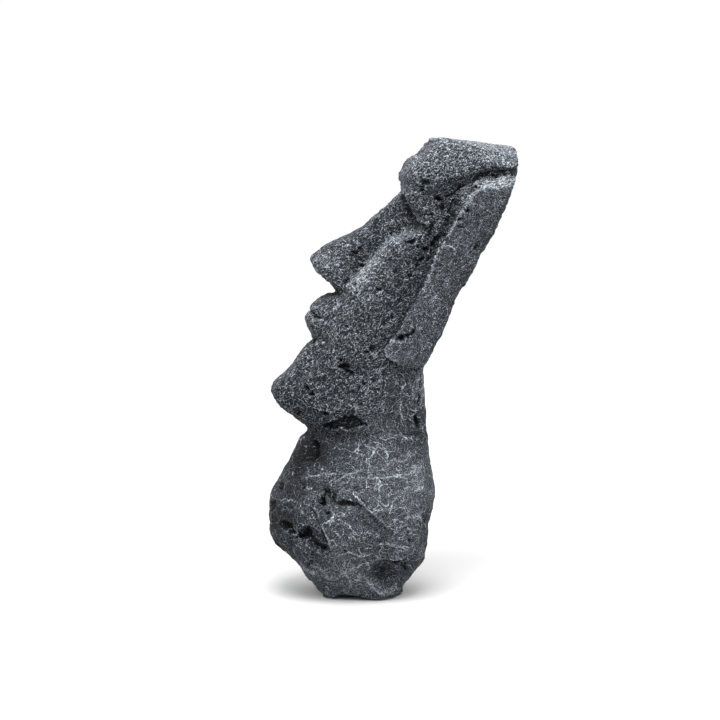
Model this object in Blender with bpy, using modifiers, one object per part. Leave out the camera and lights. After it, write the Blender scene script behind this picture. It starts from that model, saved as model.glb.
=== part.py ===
"""Leaning carved-head cave ornament: two hollow resin castings, their neck joint, ballast, sole plate, screws and pads.

Frame: metres, +Z up, the face looks along -Y and leans back towards +Y, +X is the figure's left.
The castings are lofted through ribs read off a side elevation: distances forward and back of the middle of the
object, and drops below the crown, both in drawing units.
"""

import math

import bmesh
import bpy
from mathutils import Matrix, Vector

# ---------------------------------------------------------------- driving dimensions
UNIT = 0.00053            # metres in one drawing unit, forward and sideways
RISE = 0.000533           # metres in one drawing unit, upwards
CROWN_DROP = 451.3        # drawing units from the crown down to the floor
CENTRE_Y = 0.0            # moves the whole object along Y, to centre it over its origin
SEAM_DROP = 335.5         # the neck joint
JOINT_GAP = 0.0003        # between pieces that touch
BED = 0.0010              # thickness of the epoxy bed in the neck joint
BED_SET = 9.0             # drawing units from the outside of the neck in to the bed, so that no carving reaches it

DOWEL_D, DOWEL_LONG, DOWEL_FIT = 0.0040, 0.0140, 0.0006
DOWELS = {"front": (-95.0, 0.0), "rear_left": (2.0, 38.0), "rear_right": (2.0, -38.0)}

RIM_Z = 0.0012            # underside of the rock above the floor
FLOOR_Z = 0.0113          # floor of the cave
SOLE_Y = -0.0191          # middle of the underside
PLATE_X, PLATE_Y, PLATE_T = 0.0155, 0.0145, 0.0028
POUR_X, POUR_Y = 0.0092, 0.0082
PLATE_FIT = 0.0004
DRAIN_D, DRAIN_AT = 0.0030, 0.0045
SCREW_HEAD_D, SCREW_D, SCREW_LONG = 0.0044, 0.0022, 0.0072
SCREW_AT = ((0.0122, 0.0), (0.0, 0.0113), (-0.0122, 0.0), (0.0, -0.0113))
PAD_D, PAD_TALL, PAD_FIT = 0.0070, 0.0022, 0.0003
PAD_AT = ((0.0120, 0.0162), (-0.0120, 0.0162), (-0.0120, -0.0162), (0.0120, -0.0162))

MOUTH_Y, MOUTH_WIDE, MOUTH_SILL, MOUTH_SPRING = -0.0186, 0.0310, 0.0127, 0.0270
VENT_D, VENT_DROP = 0.0040, 29.0
BALLAST_BACK = -66.0      # rear face of the ballast

# Head ribs, crown to throat. Each is a slanting section across the head:
# front and its drop, back and its drop, half-width of the front face, fold where that meets the cheek and its
# half-width, half-width at the cheek's corner, half-width of the side, front edge of the ear and its half-width,
# half-width of the back.
HEAD_RIBS = (
    (39, 1, 121, 9, 30, 46, 37, 41, 44, 101, 44, 33),
    (27, 6, 123, 13, 36, 38, 43, 47, 49, 100, 49, 40),
    (9, 21, 122, 16, 38, 22, 46, 51, 54, 97, 53, 44),
    (5, 32, 121, 18, 38, 18, 46, 51, 55, 95, 54, 45),
    (7, 41, 119, 21, 36, 16, 45, 51, 55, 88, 53, 44),
    (8, 47, 117, 26, 10, 12, 16, 50, 53, 58, 48, 43),
    (0, 57, 115, 39, 9, 12, 15, 47, 50, 74, 54, 46),
    (-18, 73, 109, 56, 9, 18, 16, 45, 48, 58, 57, 48),
    (-26, 80, 106, 63, 10, 22, 17, 44, 48, 54, 58, 48),
    (-32, 85, 102, 71, 10, 24, 18, 45, 48, 50, 58, 48),
    (-44, 92, 96, 84, 11, 21, 19, 45, 49, 46, 58, 48),
    (-58, 98, 90, 96, 12, 2, 21, 45, 49, 43, 58, 48),
    (-74, 107, 82, 109, 13, -10, 24, 44, 50, 38, 58, 48),
    (-83, 117, 75, 121, 14, -18, 27, 44, 50, 33, 58, 48),
    (-74, 130, 68, 132, 18, -32, 29, 43, 51, 26, 58, 48),
    (-60, 149, 56, 153, 20, -46, 26, 41, 51, 18, 58, 48),
    (-77, 155, 53, 160, 22, -52, 31, 41, 52, 15, 58, 48),
    (-82, 162, 51, 167, 22, -54, 32, 41, 52, 12, 58, 48),
    (-87, 175, 46, 181, 21, -58, 32, 41, 52, 4, 58, 48),
    (-87, 183, 43, 188, 20, -61, 31, 41, 52, -1, 58, 48),
    (-83, 194, 38, 199, 19, -64, 29, 41, 52, -9, 58, 48),
    (-95, 212, 31, 213, 20, -74, 29, 41, 52, -16, 57, 46),
    (-107, 228, 26, 223, 21, -84, 29, 40, 51, -4, 50, 41),
    (-121, 241, 27, 234, 21, -94, 29, 39, 50, -6, 46, 36),
    (-123, 247, 28, 243, 21, -96, 29, 38, 50, -8, 44, 32),
    (-117, 260, 29, 256, 19, -92, 28, 37, 49, -10, 42, 29),
    (-102, 272, 30, 269, 18, -82, 28, 36, 48, -12, 41, 26),
    (-87, 286, 31, 283, 20, -72, 30, 38, 48, -14, 40, 24),
)
# Neck and rock ribs, rounded sections: front, back, drop, half-width, squareness.
NECK_RIBS = (
    (-93, 33, 294, 49, 0.82),
    (-97, 34, 304, 53, 0.86),
    (-108, 37, 323, 61, 0.86),
    (-115, 39, SEAM_DROP, 67, 0.86),
)
ROCK_RIBS = (
    (-115, 39, SEAM_DROP, 67, 0.86),
    (-123, 41, 351.5, 73, 0.84),
    (-125, 39, 361.5, 75, 0.82),
    (-125, 34, 385.5, 74, 0.82),
    (-120, 32, 401.0, 70, 0.82),
    (-103, 30, 415.0, 62, 0.82),
    (-90, 19, 430.5, 54, 0.84),
    (-81, 10, 441.5, 49, 0.86),
    (-78, 6, CROWN_DROP - RIM_Z / RISE, 45, 0.86),
)
# Hollows, rounded sections: front, back, drop, half-width, squareness.
HEAD_HOLLOW = (
    (38, 109, 17, 36, 0.80),
    (34, 106, 34, 42, 0.78),
    (33, 97, 60, 40, 0.78),
    (33, 91, 76, 40, 0.78),
    (31, 86, 91, 40, 0.78),
    (12, 79, 104, 41, 0.78),
    (-8, 66, 120, 43, 0.78),
    (-36, 48, 150, 44, 0.78),
    (-50, 37, 180, 45, 0.78),
    (-64, 24, 208, 45, 0.78),
    (-86, 19, 243, 41, 0.80),
    (-80, 20, 268, 39, 0.82),
    (-72, 21, 286, 37, 0.86),
    (-78, 17, 308, 37, 0.92),
    (-83, 10, SEAM_DROP + 6, 36, 0.96),
)
CAVE_HOLLOW = (
    (-83, 10, SEAM_DROP - 6, 36, 0.96),
    (-85, 12, 352.0, 38, 0.96),
    (-100, 24, 368.0, 58, 0.86),
    (-103, 23, 388.0, 60, 0.84),
    (-92, 17, 406.0, 54, 0.84),
    (-81, 8, 420.0, 46, 0.86),
    (-74, 2, CROWN_DROP - FLOOR_Z / RISE, 41, 0.88),
)
HALF = 8                  # points in half a rib


# ---------------------------------------------------------------- helpers
def place(p, drop, across):
    return Vector((across * UNIT, p * UNIT + CENTRE_Y, (CROWN_DROP - drop) * RISE))


def rounded(points):
    """One round of corner cutting on a closed loop of points."""
    cut = []
    for a, b in zip(points, points[1:] + points[:1]):
        cut += [a.lerp(b, 0.25), a.lerp(b, 0.75)]
    return cut


def closed_ring(half):
    """A rib from its left half, front to back, rounded off and closed across the middle plane."""
    return rounded(half + [Vector((-v.x, v.y, v.z)) for v in reversed(half)])


def head_ring(rib):
    front, front_drop, back, back_drop, fw, fold, root, corner, side, ear, ear_w, back_w = rib
    half = [(front, fw), (fold - 4, root), (fold, corner), (fold + 0.35 * (ear - fold), side),
            (ear - 4, side), (ear + 3, ear_w), (back - 5, ear_w - 2), (back, back_w)]
    lean = (back_drop - front_drop) / (back - front)
    return closed_ring([place(p, front_drop + lean * (p - front), w) for p, w in half])


def round_ring(rib, grow=0.0, lift=0.0):
    """A rounded rib; its control points stand outside the curve that they pull."""
    front, back, drop, wide, square = rib
    middle, long = (front + back) / 2, (back - front) / 2 + grow
    out = 1 / math.cos(math.pi / (2 * HALF))
    half = []
    for i in range(HALF):
        turn = math.pi * (i + 0.5) / HALF
        c, s = math.cos(turn), math.sin(turn)
        half.append(place(middle - long * out * math.copysign(abs(c) ** square, c), drop,
                          (wide + grow) * out * s ** square) + Vector((0, 0, lift)))
    return closed_ring(half)


def link(name, mesh, group, colour=None, rough=0.8, metal=0.0):
    ob = bpy.data.objects.new(name, mesh)
    group.objects.link(ob)
    if colour:
        mat = bpy.data.materials.new(name)
        mat.use_nodes = True
        shader = mat.node_tree.nodes["Principled BSDF"]
        shader.inputs["Base Color"].default_value = (*colour, 1)
        shader.inputs["Roughness"].default_value = rough
        shader.inputs["Metallic"].default_value = metal
        ob.data.materials.append(mat)
    else:
        ob.hide_render = True
        ob.display_type = "WIRE"
    return ob


def finish(bm, name):
    bmesh.ops.recalc_face_normals(bm, faces=bm.faces)
    mesh = bpy.data.meshes.new(name)
    bm.to_mesh(mesh)
    bm.free()
    return mesh


def loft(name, rings):
    """A closed solid through rings that all hold the same number of points."""
    bm = bmesh.new()
    loops = [[bm.verts.new(v) for v in ring] for ring in rings]
    for low, high in zip(loops, loops[1:]):
        for i in range(len(low)):
            j = (i + 1) % len(low)
            bm.faces.new((low[i], low[j], high[j], high[i]))
    bm.faces.new(loops[0])
    bm.faces.new(loops[-1])
    return finish(bm, name)


def cylinder(name, x, y, z0, z1, rx, ry=None, steps=24):
    bm = bmesh.new()
    bmesh.ops.create_cone(bm, cap_ends=True, segments=steps, radius1=1, radius2=1, depth=1,
                          matrix=Matrix.Rotation(math.pi / (3 * steps), 4, "Z"))
    bmesh.ops.scale(bm, vec=(rx, ry or rx, z1 - z0), verts=bm.verts)
    bmesh.ops.translate(bm, vec=(x, y, (z0 + z1) / 2), verts=bm.verts)
    return finish(bm, name)


def box(name, low, high):
    bm = bmesh.new()
    bmesh.ops.create_cube(bm, size=1)
    low, high = Vector(low), Vector(high)
    bmesh.ops.scale(bm, vec=high - low, verts=bm.verts)
    bmesh.ops.translate(bm, vec=(low + high) / 2, verts=bm.verts)
    return finish(bm, name)


def turned(name, profile, group, colour, rough, metal, steps=20):
    """A body of revolution about its own Z, from a profile of radius and height."""
    bm = bmesh.new()
    verts = [bm.verts.new((r, 0, z)) for r, z in profile]
    for a, b in zip(verts, verts[1:]):
        bm.edges.new((a, b))
    mesh = bpy.data.meshes.new(name)
    bm.to_mesh(mesh)
    bm.free()
    ob = link(name, mesh, group, colour, rough, metal)
    screw = ob.modifiers.new("turn", "SCREW")
    screw.axis = "Z"
    screw.steps = screw.render_steps = steps
    screw.use_merge_vertices = True
    screw.merge_threshold = 0.00001
    screw.use_normal_calculate = True
    return ob


def boolean(ob, other, kind="DIFFERENCE"):
    mod = ob.modifiers.new(other.name, "BOOLEAN")
    mod.operation = kind
    mod.solver = "EXACT"
    mod.object = other


def bevel(ob, width, segments=2):
    mod = ob.modifiers.new("edge", "BEVEL")
    mod.width = width
    mod.segments = segments
    mod.limit_method = "ANGLE"
    mod.angle_limit = math.radians(50)


# ---------------------------------------------------------------- scene
for old in list(bpy.data.objects):
    bpy.data.objects.remove(old, do_unlink=True)
parts = bpy.data.collections.new("carved_head_cave_ornament")
cutters = bpy.data.collections.new("cutters")
bpy.context.scene.collection.children.link(parts)
bpy.context.scene.collection.children.link(cutters)

STONE_GREY = (0.085, 0.092, 0.105)
SEAM_Z = (CROWN_DROP - SEAM_DROP) * RISE
HALF_BED = BED / 2 + JOINT_GAP

# ---------------------------------------------------------------- head casting
head_rings = [head_ring(r) for r in HEAD_RIBS] + [round_ring(r) for r in NECK_RIBS[:-1]]
head_rings.append(round_ring(NECK_RIBS[-1], lift=HALF_BED))
head = link("head_shell", loft("head_shell", head_rings), parts, STONE_GREY)
hollow = link("head_hollow", loft("head_hollow", [round_ring(r) for r in HEAD_HOLLOW]), cutters)
boolean(head, hollow)

vent = cylinder("vent", 0, 0, 0.045, 0.080, VENT_D / 2, steps=16)
vent.transform(Matrix.Rotation(-math.pi / 2, 4, "X"))
vent.transform(Matrix.Translation((0, CENTRE_Y, (CROWN_DROP - VENT_DROP) * RISE)))
boolean(head, link("vent", vent, cutters))

# ---------------------------------------------------------------- rock casting with its cave
rock_rings = [round_ring(ROCK_RIBS[0], lift=-HALF_BED)] + [round_ring(r) for r in ROCK_RIBS[1:]]
rock = link("rock_base_shell", loft("rock_base_shell", rock_rings), parts, STONE_GREY)
cave = link("cave_hollow", loft("cave_hollow", [round_ring(r) for r in CAVE_HOLLOW]), cutters)
boolean(rock, cave)

arch = bmesh.new()
corners = [(MOUTH_Y - MOUTH_WIDE / 2, MOUTH_SILL), (MOUTH_Y + MOUTH_WIDE / 2, MOUTH_SILL)]
corners += [(MOUTH_Y + MOUTH_WIDE / 2 * math.cos(t), MOUTH_SPRING + MOUTH_WIDE / 2 * math.sin(t))
            for t in (math.pi * i / 10 for i in range(11))]
outline = arch.faces.new([arch.verts.new((-0.060, y + CENTRE_Y, z)) for y, z in corners])
grown = bmesh.ops.extrude_face_region(arch, geom=[outline])
bmesh.ops.translate(arch, vec=(0.050, 0, 0), verts=[v for v in grown["geom"] if isinstance(v, bmesh.types.BMVert)])
mouth = link("cave_mouth", finish(arch, "cave_mouth"), cutters)

sole = SOLE_Y + CENTRE_Y
ledge = RIM_Z + PLATE_T + 2 * JOINT_GAP
boolean(rock, link("plate_pocket", cylinder("plate_pocket", 0, sole, 0, ledge, PLATE_X + PLATE_FIT,
                                            PLATE_Y + PLATE_FIT, 32), cutters))
boolean(rock, link("pour_opening", cylinder("pour_opening", 0, sole, ledge - 0.001, FLOOR_Z + 0.002,
                                            POUR_X, POUR_Y, 24), cutters))

# ---------------------------------------------------------------- neck joint
bed_rib = NECK_RIBS[-1]
bed = link("neck_bedding_ring", loft("neck_bedding_ring", [round_ring(bed_rib, -BED_SET, BED / 2), round_ring(bed_rib, -BED_SET, -BED / 2)]),
           parts, (0.20, 0.20, 0.19))
bore = link("bed_bore", loft("bed_bore", [round_ring(HEAD_HOLLOW[-1], 2, 0.008), round_ring(HEAD_HOLLOW[-1], 2, -0.004)]), cutters)
boolean(bed, bore)
for where, (p, across) in DOWELS.items():
    x, y = across * UNIT, p * UNIT + CENTRE_Y
    pin = link(f"neck_dowel_{where}", cylinder("pin", x, y, SEAM_Z - DOWEL_LONG / 2, SEAM_Z + DOWEL_LONG / 2, DOWEL_D / 2, steps=20),
               parts, (0.62, 0.63, 0.65), 0.3, 1.0)
    bevel(pin, 0.0005)
    deep = DOWEL_LONG / 2 + JOINT_GAP
    hole = link(f"dowel_hole_{where}", cylinder("hole", x, y, SEAM_Z - deep, SEAM_Z + deep, (DOWEL_D + DOWEL_FIT) / 2, steps=20), cutters)
    for piece in (head, rock, bed):
        boolean(piece, hole)

# ---------------------------------------------------------------- ballast, cast against the front of the cave
weight = link("ballast_block", loft("ballast_block", [round_ring(r, -1.2) for r in CAVE_HOLLOW[2:-1]]
                                    + [round_ring(CAVE_HOLLOW[-1], -1.2, JOINT_GAP)]), parts, (0.30, 0.29, 0.27))
rear = link("ballast_trim", box("ballast_trim", (-0.05, BALLAST_BACK * UNIT + CENTRE_Y, 0), (0.05, 0.06, 0.07)), cutters)
boolean(weight, rear)

# ---------------------------------------------------------------- sole plate and screws
plate_low, plate_high = RIM_Z + JOINT_GAP, RIM_Z + JOINT_GAP + PLATE_T
plate = link("sole_plate", cylinder("sole_plate", 0, sole, plate_low, plate_high, PLATE_X, PLATE_Y, 32), parts, (0.05, 0.05, 0.055), 0.5)
for i in range(3):
    turn = math.radians(45 + 120 * i)
    drain = cylinder("drain", DRAIN_AT * math.cos(turn), sole + DRAIN_AT * math.sin(turn), 0, 0.02, DRAIN_D / 2, steps=16)
    boolean(plate, link(f"drain_{i + 1}", drain, cutters))
sink = (SCREW_HEAD_D - SCREW_D) / 2
for i, (x, y) in enumerate(SCREW_AT, 1):
    profile = ((0, 0), (SCREW_HEAD_D / 2, 0), (SCREW_HEAD_D / 2, 0.0003), (SCREW_D / 2, 0.0003 + sink),
               (SCREW_D / 2, SCREW_LONG - 0.0012), (0, SCREW_LONG))
    fit = tuple((r + JOINT_GAP if r else 0, z + (JOINT_GAP if j > 3 else 0)) for j, (r, z) in enumerate(profile))
    fit = ((0, -0.004), (fit[1][0], -0.004)) + fit[2:]
    screw = turned(f"sole_screw_{i}", profile, parts, (0.60, 0.60, 0.62), 0.3, 1.0)
    seat = turned(f"screw_seat_{i}", fit, cutters, None, 0, 0)
    for ob in (screw, seat):
        ob.location = (x, sole + y, plate_low + 0.0002)
    for k, arm in enumerate(((0.0016, 0.0003), (0.0003, 0.0016))):
        slot = box("slot", (-arm[0], -arm[1], -0.001), (arm[0], arm[1], 0.0008))
        slot.transform(Matrix.Translation((x, sole + y, plate_low + 0.0002)))
        boolean(screw, link(f"slot_{i}_{k}", slot, cutters))
    for piece in (plate, rock):
        boolean(piece, seat)

# ---------------------------------------------------------------- foot pads
for i, (x, y) in enumerate(PAD_AT, 1):
    pad = link(f"foot_pad_{i}", cylinder("pad", x, sole + y, 0, PAD_TALL, PAD_D / 2, steps=24), parts, (0.03, 0.03, 0.03), 0.9)
    bevel(pad, 0.0005)
    recess = cylinder("recess", x, sole + y, -0.002, PAD_TALL + JOINT_GAP, PAD_D / 2 + PAD_FIT, steps=24)
    boolean(rock, link(f"pad_recess_{i}", recess, cutters))
boolean(rock, mouth)
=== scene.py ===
"""Looks of the leaning carved-head cave ornament: two rough castings in dry-brushed dark grey resin, on rubber pads.

The castings are lofted through the same ribs as the solids, at a fine pitch, then carved: grooves, pits, ridges and
patches are laid out in the side elevation (x to the right, y down, in drawing units), and grain comes from noise.
"""

import itertools
import math

import bmesh
import bpy
import numpy as np
from mathutils import Matrix, Vector
from mathutils.bvhtree import BVHTree


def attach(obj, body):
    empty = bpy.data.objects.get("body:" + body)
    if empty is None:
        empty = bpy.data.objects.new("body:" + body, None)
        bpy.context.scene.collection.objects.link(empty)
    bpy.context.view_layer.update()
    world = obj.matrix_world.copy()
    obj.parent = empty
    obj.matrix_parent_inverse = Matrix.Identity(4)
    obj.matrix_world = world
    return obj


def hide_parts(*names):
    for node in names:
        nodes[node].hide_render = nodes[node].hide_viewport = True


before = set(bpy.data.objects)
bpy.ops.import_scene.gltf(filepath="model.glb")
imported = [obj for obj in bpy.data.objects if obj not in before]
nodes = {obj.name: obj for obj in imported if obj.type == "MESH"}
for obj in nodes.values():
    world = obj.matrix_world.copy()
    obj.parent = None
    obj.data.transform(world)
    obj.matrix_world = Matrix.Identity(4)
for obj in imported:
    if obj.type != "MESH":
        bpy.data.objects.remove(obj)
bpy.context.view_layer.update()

# ---------------------------------------------------------------- the castings' ribs, in drawing units
UNIT, RISE, CROWN_DROP, SEAM_DROP = 0.00053, 0.000533, 451.3, 335.5
SEAM_Z = (CROWN_DROP - SEAM_DROP) * RISE
RIM_Z, FLOOR_Z, SOLE_Y = 0.0012, 0.0113, -0.0191
# front and its drop, back and its drop, half-widths of the front face, fold and its half-width, cheek corner, side,
# front edge of the ear, half-widths of the ear and of the back
HEAD_RIBS = (
    (39, 1, 121, 9, 30, 46, 37, 41, 44, 101, 44, 33),
    (27, 6, 123, 13, 36, 38, 43, 47, 49, 100, 49, 40),
    (9, 21, 122, 16, 38, 22, 46, 51, 54, 97, 53, 44),
    (5, 32, 121, 18, 38, 18, 46, 51, 55, 95, 54, 45),
    (7, 41, 119, 21, 36, 16, 45, 51, 55, 88, 53, 44),
    (8, 47, 117, 26, 10, 12, 16, 50, 53, 58, 48, 43),
    (0, 57, 115, 39, 9, 12, 15, 47, 50, 74, 54, 46),
    (-18, 73, 109, 56, 9, 18, 16, 45, 48, 58, 57, 48),
    (-26, 80, 106, 63, 10, 22, 17, 44, 48, 54, 58, 48),
    (-32, 85, 102, 71, 10, 24, 18, 45, 48, 50, 58, 48),
    (-44, 92, 96, 84, 11, 21, 19, 45, 49, 46, 58, 48),
    (-58, 98, 90, 96, 12, 2, 21, 45, 49, 43, 58, 48),
    (-74, 107, 82, 109, 13, -10, 24, 44, 50, 38, 58, 48),
    (-83, 117, 75, 121, 14, -18, 27, 44, 50, 33, 58, 48),
    (-74, 130, 68, 132, 18, -32, 29, 43, 51, 26, 58, 48),
    (-60, 149, 56, 153, 20, -46, 26, 41, 51, 18, 58, 48),
    (-77, 155, 53, 160, 22, -52, 31, 41, 52, 15, 58, 48),
    (-82, 162, 51, 167, 22, -54, 32, 41, 52, 12, 58, 48),
    (-87, 175, 46, 181, 21, -58, 32, 41, 52, 4, 58, 48),
    (-87, 183, 43, 188, 20, -61, 31, 41, 52, -1, 58, 48),
    (-83, 194, 38, 199, 19, -64, 29, 41, 52, -9, 58, 48),
    (-95, 212, 31, 213, 20, -74, 29, 41, 52, -16, 57, 46),
    (-107, 228, 26, 223, 21, -84, 29, 40, 51, -4, 50, 41),
    (-121, 241, 27, 234, 21, -94, 29, 39, 50, -6, 46, 36),
    (-123, 247, 28, 243, 21, -96, 29, 38, 50, -8, 44, 32),
    (-117, 260, 29, 256, 19, -92, 28, 37, 49, -10, 42, 29),
    (-102, 272, 30, 269, 18, -82, 28, 36, 48, -12, 41, 26),
    (-87, 286, 31, 283, 20, -72, 30, 38, 48, -14, 40, 24),
)
# front, back, drop, half-width, squareness
ROUND_RIBS = (
    (-93, 33, 294, 49, 0.82),
    (-97, 34, 304, 53, 0.86),
    (-108, 37, 323, 61, 0.86),
    (-115, 39, SEAM_DROP, 67, 0.86),
    (-123, 41, 351.5, 73, 0.84),
    (-125, 39, 361.5, 75, 0.82),
    (-125, 34, 385.5, 74, 0.82),
    (-120, 32, 401.0, 70, 0.82),
    (-103, 30, 415.0, 62, 0.82),
    (-90, 19, 430.5, 54, 0.84),
    (-81, 10, 441.5, 49, 0.86),
    (-78, 6, CROWN_DROP - RIM_Z / RISE, 45, 0.86),
)
HEAD_HOLLOW = (
    (38, 109, 17, 36, 0.80),
    (34, 106, 34, 42, 0.78),
    (33, 97, 60, 40, 0.78),
    (33, 91, 76, 40, 0.78),
    (31, 86, 91, 40, 0.78),
    (12, 79, 104, 41, 0.78),
    (-8, 66, 120, 43, 0.78),
    (-36, 48, 150, 44, 0.78),
    (-50, 37, 180, 45, 0.78),
    (-64, 24, 208, 45, 0.78),
    (-86, 19, 243, 41, 0.80),
    (-80, 20, 268, 39, 0.82),
    (-72, 21, 286, 37, 0.86),
    (-78, 17, 308, 37, 0.92),
    (-83, 10, SEAM_DROP + 6, 36, 0.96),
)
CAVE_HOLLOW = (
    (-83, 10, SEAM_DROP - 6, 36, 0.96),
    (-85, 12, 352.0, 38, 0.96),
    (-100, 24, 368.0, 58, 0.86),
    (-103, 23, 388.0, 60, 0.84),
    (-92, 17, 406.0, 54, 0.84),
    (-81, 8, 420.0, 46, 0.86),
    (-74, 2, CROWN_DROP - FLOOR_Z / RISE, 41, 0.88),
)
PITCH = 0.00056           # spacing of the carved surface

# ---------------------------------------------------------------- what is set into the castings, in metres
JOINT_GAP, BED, BED_SET = 0.0003, 0.0010, 9.0
DOWEL_D, DOWEL_LONG, DOWEL_FIT = 0.0040, 0.0140, 0.0006
DOWELS = ((-95, 0), (2, 38), (2, -38))        # place along and across, in drawing units
PLATE_X, PLATE_Y, PLATE_FIT, PLATE_LOW, LEDGE_Z = 0.0155, 0.0145, 0.0004, 0.0015, 0.0046
POUR_X, POUR_Y = 0.0092, 0.0082
SCREW_D, SCREW_LONG = 0.0022, 0.0072
SCREW_AT = ((0.0122, 0), (0, 0.0113), (-0.0122, 0), (0, -0.0113))
PAD_D, PAD_FIT = 0.0070, 0.0003
PAD_AT = ((0.0120, 0.0162), (0.0120, -0.0162), (-0.0120, 0.0162), (-0.0120, -0.0162))
VENT_D, VENT_Z = 0.0040, 0.2251

# ---------------------------------------------------------------- the elevation that the carving is laid out in
AZIMUTH, ELEVATION, AWAY = math.radians(85), math.radians(6), 1.10
AIM, AIM_X, AIM_Y = np.array((0, 0, 0.120)), 394.0, 368.0
RIGHT = np.array((math.cos(AZIMUTH), math.sin(AZIMUTH), 0))
BACK = np.array((math.sin(AZIMUTH) * math.cos(ELEVATION), -math.cos(AZIMUTH) * math.cos(ELEVATION), math.sin(ELEVATION)))
UP = np.cross(BACK, RIGHT)


def elevation(co):
    """Where points fall in the side elevation."""
    d = co - AIM
    near = AWAY / (AWAY - d @ BACK) / UNIT
    return AIM_X + (d @ RIGHT) * near, AIM_Y - (d @ UP) * near


# ---------------------------------------------------------------- noise
def mixed(i, j, k, seed):
    h = (i.astype(np.uint32) * np.uint32(0x8DA6B343)) ^ (j.astype(np.uint32) * np.uint32(0xD8163841))
    h ^= (k.astype(np.uint32) * np.uint32(0xCB1AB31F)) ^ np.uint32((seed * 0x9E3779B1 + 0x7F4A7C15) & 0xFFFFFFFF)
    h ^= h >> np.uint32(15)
    h *= np.uint32(0x2C1B3C6D)
    h ^= h >> np.uint32(12)
    h *= np.uint32(0x297A2D39)
    return h ^ (h >> np.uint32(15))


def triple(h):
    return np.stack([h & 1023, (h >> np.uint32(10)) & 1023, (h >> np.uint32(20)) & 1023], 1) / 1023.0


def noise(q, seed=0):
    """Smooth noise from about -1 to 1."""
    i = np.floor(q).astype(np.int64)
    f = q - i
    u = f * f * f * (f * (f * 6 - 15) + 10)
    out = np.zeros(len(q))
    for c in itertools.product((0, 1), repeat=3):
        g = triple(mixed(i[:, 0] + c[0], i[:, 1] + c[1], i[:, 2] + c[2], seed)) * 2 - 1
        w = np.prod(np.where(np.array(c) == 1, u, 1 - u), axis=1)
        out += w * (g * (f - np.array(c))).sum(1)
    return out * 1.25


def layered(q, seed=0, octaves=3, gain=0.5):
    total, size = np.zeros(len(q)), 1.0
    for o in range(octaves):
        total += size * noise(q * 2.03 ** o, seed + 17 * o)
        size *= gain
    return total


def cells(q, seed=0):
    """Distances to the nearest and second nearest of scattered points, and a number of the nearest, from 0 to 1."""
    i = np.floor(q).astype(np.int64)
    f = q - i
    first, second, own = np.full(len(q), 9.0), np.full(len(q), 9.0), np.zeros(len(q))
    for c in itertools.product((-1, 0, 1), repeat=3):
        h = mixed(i[:, 0] + c[0], i[:, 1] + c[1], i[:, 2] + c[2], seed)
        d = np.sqrt(((triple(h) + np.array(c) - f) ** 2).sum(1))
        closer = d < first
        second = np.where(closer, first, np.minimum(second, d))
        own = np.where(closer, (h >> np.uint32(4)) % np.uint32(4096) / 4095.0, own)
        first = np.where(closer, d, first)
    return first, second, own


def ramp(x, low, high):
    t = np.clip((x - low) / (high - low), 0, 1)
    return t * t * (3 - 2 * t)


# ---------------------------------------------------------------- lofting
HALF = 12                 # points in half a rib


def half_points(rib):
    """Half a rib, front to back, as rows of place along, drop and half-width."""
    if len(rib) == 12:
        front, front_drop, back, back_drop, fw, fold, root, corner, side, ear, ear_w, back_w = rib
        half = [(front, fw), (front + 0.5 * (fold - 5 - front), 0.5 * (fw + root) + 1.0), (fold - 5, root),
                (fold - 2, root + 0.45 * (corner - root)), (fold, corner - 1.5), (fold + 6, corner + 2),
                (fold + 0.45 * (ear - fold), side), (ear - 5, side), (ear - 1, side + 0.35 * (ear_w - side)),
                (ear + 2.5, ear_w), (back - 5, ear_w - 1.5), (back, back_w)]
        lean = (back_drop - front_drop) / (back - front)
        return [(p, front_drop + lean * (p - front), w) for p, w in half]
    front, back, drop, wide, square = rib
    middle, long, out = (front + back) / 2, (back - front) / 2, 1 / math.cos(math.pi / (2 * HALF))
    rows = []
    for i in range(HALF):
        c, s = math.cos(math.pi * (i + 0.5) / HALF), math.sin(math.pi * (i + 0.5) / HALF)
        rows.append((middle - long * out * math.copysign(abs(c) ** square, c), drop, wide * out * s ** square))
    return rows


def through(t, y, at):
    """A smooth curve through rows of points that never swings past them."""
    h = np.diff(t)[:, None]
    d = np.diff(y, axis=0) / h
    m = np.zeros_like(y)
    a, b = 2 * h[1:] + h[:-1], h[1:] + 2 * h[:-1]
    same = d[:-1] * d[1:] > 0
    m[1:-1] = np.where(same, (a + b) / (a / np.where(same, d[:-1], 1) + b / np.where(same, d[1:], 1)), 0)
    m[0], m[-1] = d[0], d[-1]
    k = np.clip(np.searchsorted(t, at) - 1, 0, len(t) - 2)
    w = (t[k + 1] - t[k])[:, None]
    s = (at - t[k])[:, None] / w
    return ((1 + 2 * s) * (1 - s) ** 2 * y[k] + s * (1 - s) ** 2 * w * m[k]
            + s * s * (3 - 2 * s) * y[k + 1] + s * s * (s - 1) * w * m[k + 1])


def meshed(bm, name):
    bmesh.ops.recalc_face_normals(bm, faces=bm.faces)
    mesh = bpy.data.meshes.new(name)
    bm.to_mesh(mesh)
    bm.free()
    return mesh


def shown(name, mesh):
    ob = bpy.data.objects.new(name, mesh)
    bpy.context.scene.collection.objects.link(ob)
    return ob


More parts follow.
